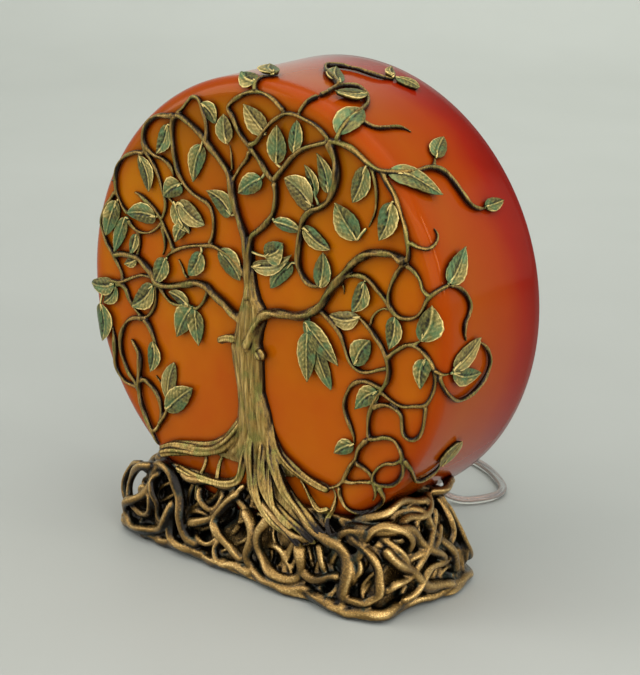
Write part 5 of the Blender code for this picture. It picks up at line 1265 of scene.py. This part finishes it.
def make_plug():
    """The moulded plug: grip ribs, a shoulder, a tapered neck and two blades with holes."""
    piece = Piece()
    x, mid = -41.0, 6.8
    profile = [(131.9, 11.4, 5.9, 3.0), (131.4, 11.9, 6.3, 3.2), (128.2, 11.9, 6.4, 3.2),
               (127.4, 11.0, 5.9, 3.0)]
    for k in range(5):
        y = 126.0 - 2.6 * k
        wide = 10.6 - 0.15 * k
        profile += [(y, wide, 5.5, 2.8), (y - 0.7, wide + 0.5, 5.9, 2.8), (y - 1.6, wide + 0.5, 5.9, 2.8)]
    profile += [(112.0, 9.6, 5.4, 3.0), (109.4, 7.6, 4.9, 3.4), (107.4, 5.2, 4.4, 3.4),
                (105.6, 4.0, 3.9, 3.2), (104.3, 3.4, 3.4, 3.0)]
    sections = [rounded_ring((x, y, mid), wide, high, "y", corner) for y, wide, high, corner in profile]
    lofted(piece, [ring[::-1] for ring in sections])
    made = piece.finish("plug_moulding", PLUG_VINYL)
    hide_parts("plug_body")
    blades = []
    for name, side, half in (("line", -1, 3.15), ("neutral", 1, 3.95)):
        piece = Piece()
        inner, outer = 5.65, 7.05
        outline = [(130.5, -half), (147.6, -half), (148.8, -half + 1.3), (148.8, half - 1.3), (147.6, half),
                   (130.5, half)]
        hole = [(144.0 + 1.55 * math.cos(a), 1.55 * math.sin(a))
                for a in np.linspace(0, 2 * math.pi, 25)[:-1]]
        edge_ring = [nearest_on(outline, point, (144.0, 0.0)) for point in hole]
        count = len(hole)
        rings = []
        for loop, depth in ((hole, inner), (edge_ring, inner), (edge_ring, outer), (hole, outer)):
            rings.append([(x + side * depth, y, mid + z) for y, z in loop])
        faces = torus_faces(4, count)
        if side > 0:
            faces = [face[::-1] for face in faces]
        piece.add(np.vstack(rings), faces, 0.5)
        blade = piece.finish("blade_" + name, BRASS)
        for face in blade.data.polygons:
            face.use_smooth = False
        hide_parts("plug_blade_" + name)
        blades.append(blade)
    return [made] + blades


def nearest_on(outline, point, centre):
    """Where the ray from a centre through a point meets a convex outline."""
    dy, dz = point[0] - centre[0], point[1] - centre[1]
    best = None
    for (y0, z0), (y1, z1) in zip(outline, outline[1:] + outline[:1]):
        ey, ez = y1 - y0, z1 - z0
        cross = dy * ez - dz * ey
        if abs(cross) < 1e-9:
            continue
        t = ((y0 - centre[0]) * ez - (z0 - centre[1]) * ey) / cross
        s = ((y0 - centre[0]) * dz - (z0 - centre[1]) * dy) / cross
        if t > 0 and -1e-6 <= s <= 1 + 1e-6 and (best is None or t < best):
            best = t
    return (centre[0] + dy * best, centre[1] + dz * best)


def switch_half(name, node_name, seam, crown, look):
    """One half of the in-line switch: an oval shell with a slot for the wheel."""
    piece = Piece()
    steps = 72
    a = np.arange(steps) / steps * 2 * math.pi
    power = 3.2
    unit_x = np.sign(np.cos(a)) * np.abs(np.cos(a)) ** (2 / power)
    unit_y = np.sign(np.sin(a)) * np.abs(np.sin(a)) ** (2 / power)
    slot_x, slot_y = 7.0 * unit_x, 2.75 * unit_y
    long, wide = 23.9, 7.4
    middle = np.array([-58.0, 160.0])
    rings = []
    for share, rise in ((1.0, 0.0), (1.0, 0.55), (0.985, 0.80), (0.93, 0.95), (0.86, 1.0)):
        shrink = (1 - share) * long
        rings.append((long - shrink, wide - shrink, seam + rise * (crown - seam)))
    loops = [np.column_stack([middle[0] + lx * unit_x, middle[1] + wy * unit_y, np.full(steps, h)])
             for lx, wy, h in rings]
    loops.append(np.column_stack([middle[0] + slot_x, middle[1] + slot_y, np.full(steps, crown)]))
    loops.append(np.column_stack([middle[0] + slot_x, middle[1] + slot_y, np.full(steps, seam)]))
    faces = torus_faces(len(loops), steps)
    if crown < seam:
        faces = [face[::-1] for face in faces]
    piece.add(np.vstack(loops), faces, 0.5)
    made = piece.finish(name, look)
    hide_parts(node_name)
    return made


def make_switch():
    """The in-line switch: two shells, and a ribbed thumb wheel."""
    lower = switch_half("switch_shell_lower", "switch_lower", 6.15, 0.4, PLUG_VINYL)
    upper = switch_half("switch_shell_upper", "switch_upper", 6.65, 12.55, PLUG_VINYL)
    middle = np.array([-58.0, 160.0, 9.6])
    teeth = 30
    around = teeth * 6
    a = np.arange(around) / around * 2 * math.pi
    ribs = 0.5 + 0.5 * np.cos(a * teeth)
    loops = []
    for radius, ribbed, y in ((1.2, 0, -4.55), (1.2, 0, -2.15), (5.3, 0, -2.15), (5.8, 0, -1.9),
                              (5.9, 0.45, -1.75), (5.9, 0.45, 1.75), (5.8, 0, 1.9), (5.3, 0, 2.15),
                              (1.2, 0, 2.15), (1.2, 0, 4.55)):
        r = radius + ribbed * ribs
        loops.append(np.column_stack([middle[0] + r * np.sin(a), np.full(around, middle[1] + y),
                                      middle[2] + r * np.cos(a)]))
    wheel = Piece()
    lofted(wheel, loops)
    made = wheel.finish("thumb_wheel", WHEEL, "switch_wheel")
    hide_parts("switch_wheel")
    return [lower, upper, made]


def make_tie():
    """The band round the coil, with rounded corners."""
    piece = Piece()
    centre_y, centre_z = 87.0, 9.0
    half_y, half_z, thick = 7.7, 7.4, 1.05
    loops = []
    for x, grow in ((-2.9, 0.0), (-2.9, 0.8), (-2.4, thick), (2.4, thick), (2.9, 0.8), (2.9, 0.0)):
        loops.append(rounded_ring((COIL_X + x, centre_y, centre_z), half_y + grow, half_z + grow, "x",
                                  3.0 + grow))
    piece.add(np.array(loops), torus_faces(len(loops), len(loops[0])), 0.5)
    made = piece.finish("tie_band", TIE)
    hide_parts("coil_tie")
    return made


def make_relief():
    """The tapered, ringed strain relief where the cord leaves the lamp holder."""
    profile = [(2.45, -56.5), (4.3, -56.5), (4.35, -59.0)]
    for k in range(6):
        y = -60.2 - 2.7 * k
        r = 4.25 - 0.2 * k
        profile += [(r, y), (r - 0.75, y - 0.35), (r - 0.75, y - 1.05), (r - 0.12, y - 1.4)]
    profile += [(3.0, -77.0), (2.8, -77.9), (2.45, -77.9)]
    made = spin("relief_sleeve", profile, BLACK, (0, 0, 112.0), segments=48)
    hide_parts("strain_relief")
    return made


def make_shade():
    """The amber drum, with the slow unevenness of a hand-finished surface."""
    round_angles = np.radians(np.linspace(0, 90, 11))
    outer = [(0.01, -FRONT_Y)] + [(r, -FRONT_Y) for r in np.linspace(12, FLAT_R - 2, 9)]
    outer += [(FLAT_R + EDGE_R * math.sin(a), -FRONT_Y - EDGE_R + EDGE_R * math.cos(a)) for a in round_angles]
    outer += [(FRONT_R + (BACK_R - FRONT_R) * t, -FRONT_Y - EDGE_R - (SIDE - 1.0) * t)
              for t in np.linspace(0.08, 1, 14)]
    outer += [(BACK_R - 0.3, -BACK_Y + 0.3), (BACK_R - 1.0, -BACK_Y)]
    inner = [(BACK_R - WALL + 0.5, -BACK_Y), (BACK_R - WALL, -BACK_Y + 0.6), (BACK_R - WALL, -10),
             (FRONT_R - WALL, -FRONT_Y - EDGE_R), (FLAT_R, -FRONT_Y - WALL), (0.01, -FRONT_Y - WALL)]
    made = spin("drum_shade", outer + inner, AMBER, (0, 0, DRUM_Z), segments=200, closed=False)
    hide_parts("shade")
    return made


def drum_outward(points):
    """The shade's outward direction nearest to points."""
    x, y, z = points.T
    reach = np.hypot(x, z - DRUM_Z)
    lean = np.clip((reach - FLAT_R) / EDGE_R, 0, 1) * math.pi / 2
    radial = np.column_stack([x, 0 * x, z - DRUM_Z]) / np.maximum(reach, 1e-9)[:, None]
    return radial * np.sin(lean)[:, None] + np.array([0.0, -1.0, 0.0]) * np.cos(lean)[:, None]


def tree_light(points):
    """Extra wear of the trunk and its foot over that of the vines."""
    x, y, z = points.T
    left, right = trunk_edges(z - DRUM_Z)
    outside = np.maximum(np.maximum(left - 2 - x, x - right - 2), 0)
    stem = (1 - ease(outside, 0, 14)) * (1 - ease(z, 135, 165))
    foot = 1 - ease(z, 60, 72)
    low = 1 - ease(z, 40, 56)
    return 0.16 * np.maximum(stem, foot) + 0.16 * low


def make_tree():
    """Branches, vines, trunk and leaves over the shade."""
    routes = VINES + TENDRILS
    joined = route_ends(routes)
    wood = Piece()
    for number, (width, route) in enumerate(routes):
        vine(wood, number, width, route, joined[number])
    add_trunk(wood)
    wood_made = cast(wood, "tree_wood", WOOD_PAINT, 0.40, 1, 9, drum_outward, tree_light, 0.60,
                     (0.7, 0.7, 0.035))
    spots = np.vstack([smooth(route, 1.5) for _, route in routes])
    green, gold = Piece(), Piece()
    for number, (stalk, tip, width) in enumerate(LEAVES):
        leaf(gold if number in GOLD_LEAVES else green, number, stalk, tip, width, spots)
    leaves_made = green.finish("tree_leaves_green", LEAF_PAINT)
    gold_made = gold.finish("tree_leaves_gold", GOLD_LEAF)
    relief = [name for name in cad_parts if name.startswith(("vines_", "crown_", "side_sprig"))]
    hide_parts("trunk", *relief)


def finish_nodes():
    """Better finishes for the CAD nodes that stay."""
    finishes = {"felt_sheet": FELT, "back_cover": BOARD, "bulb_glass": GLASS, "bulb_stem": GLASS,
                "socket_shell": BRASS, "socket_contact": BRASS, "bulb_base": BRASS,
                "bulb_contact": STEEL, "switch_screw": STEEL, "socket_clip_left": STEEL,
                "socket_clip_right": STEEL}
    for name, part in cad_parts.items():
        if part.hide_render:
            continue
        look = finishes.get(name, STEEL if name.startswith("cover_screw") else BLACK)
        part.data.materials.clear()
        part.data.materials.append(look)


GOLD_LEAVES = {3, 4, 11, 20, 28, 33, 38, 47, 60, 66}

make_shade()
make_tree()
base_made = make_base()
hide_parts("root_base")
relief = make_relief()
tie = make_tie()
plug_pieces = make_plug()
switch_pieces = make_switch()
finish_nodes()
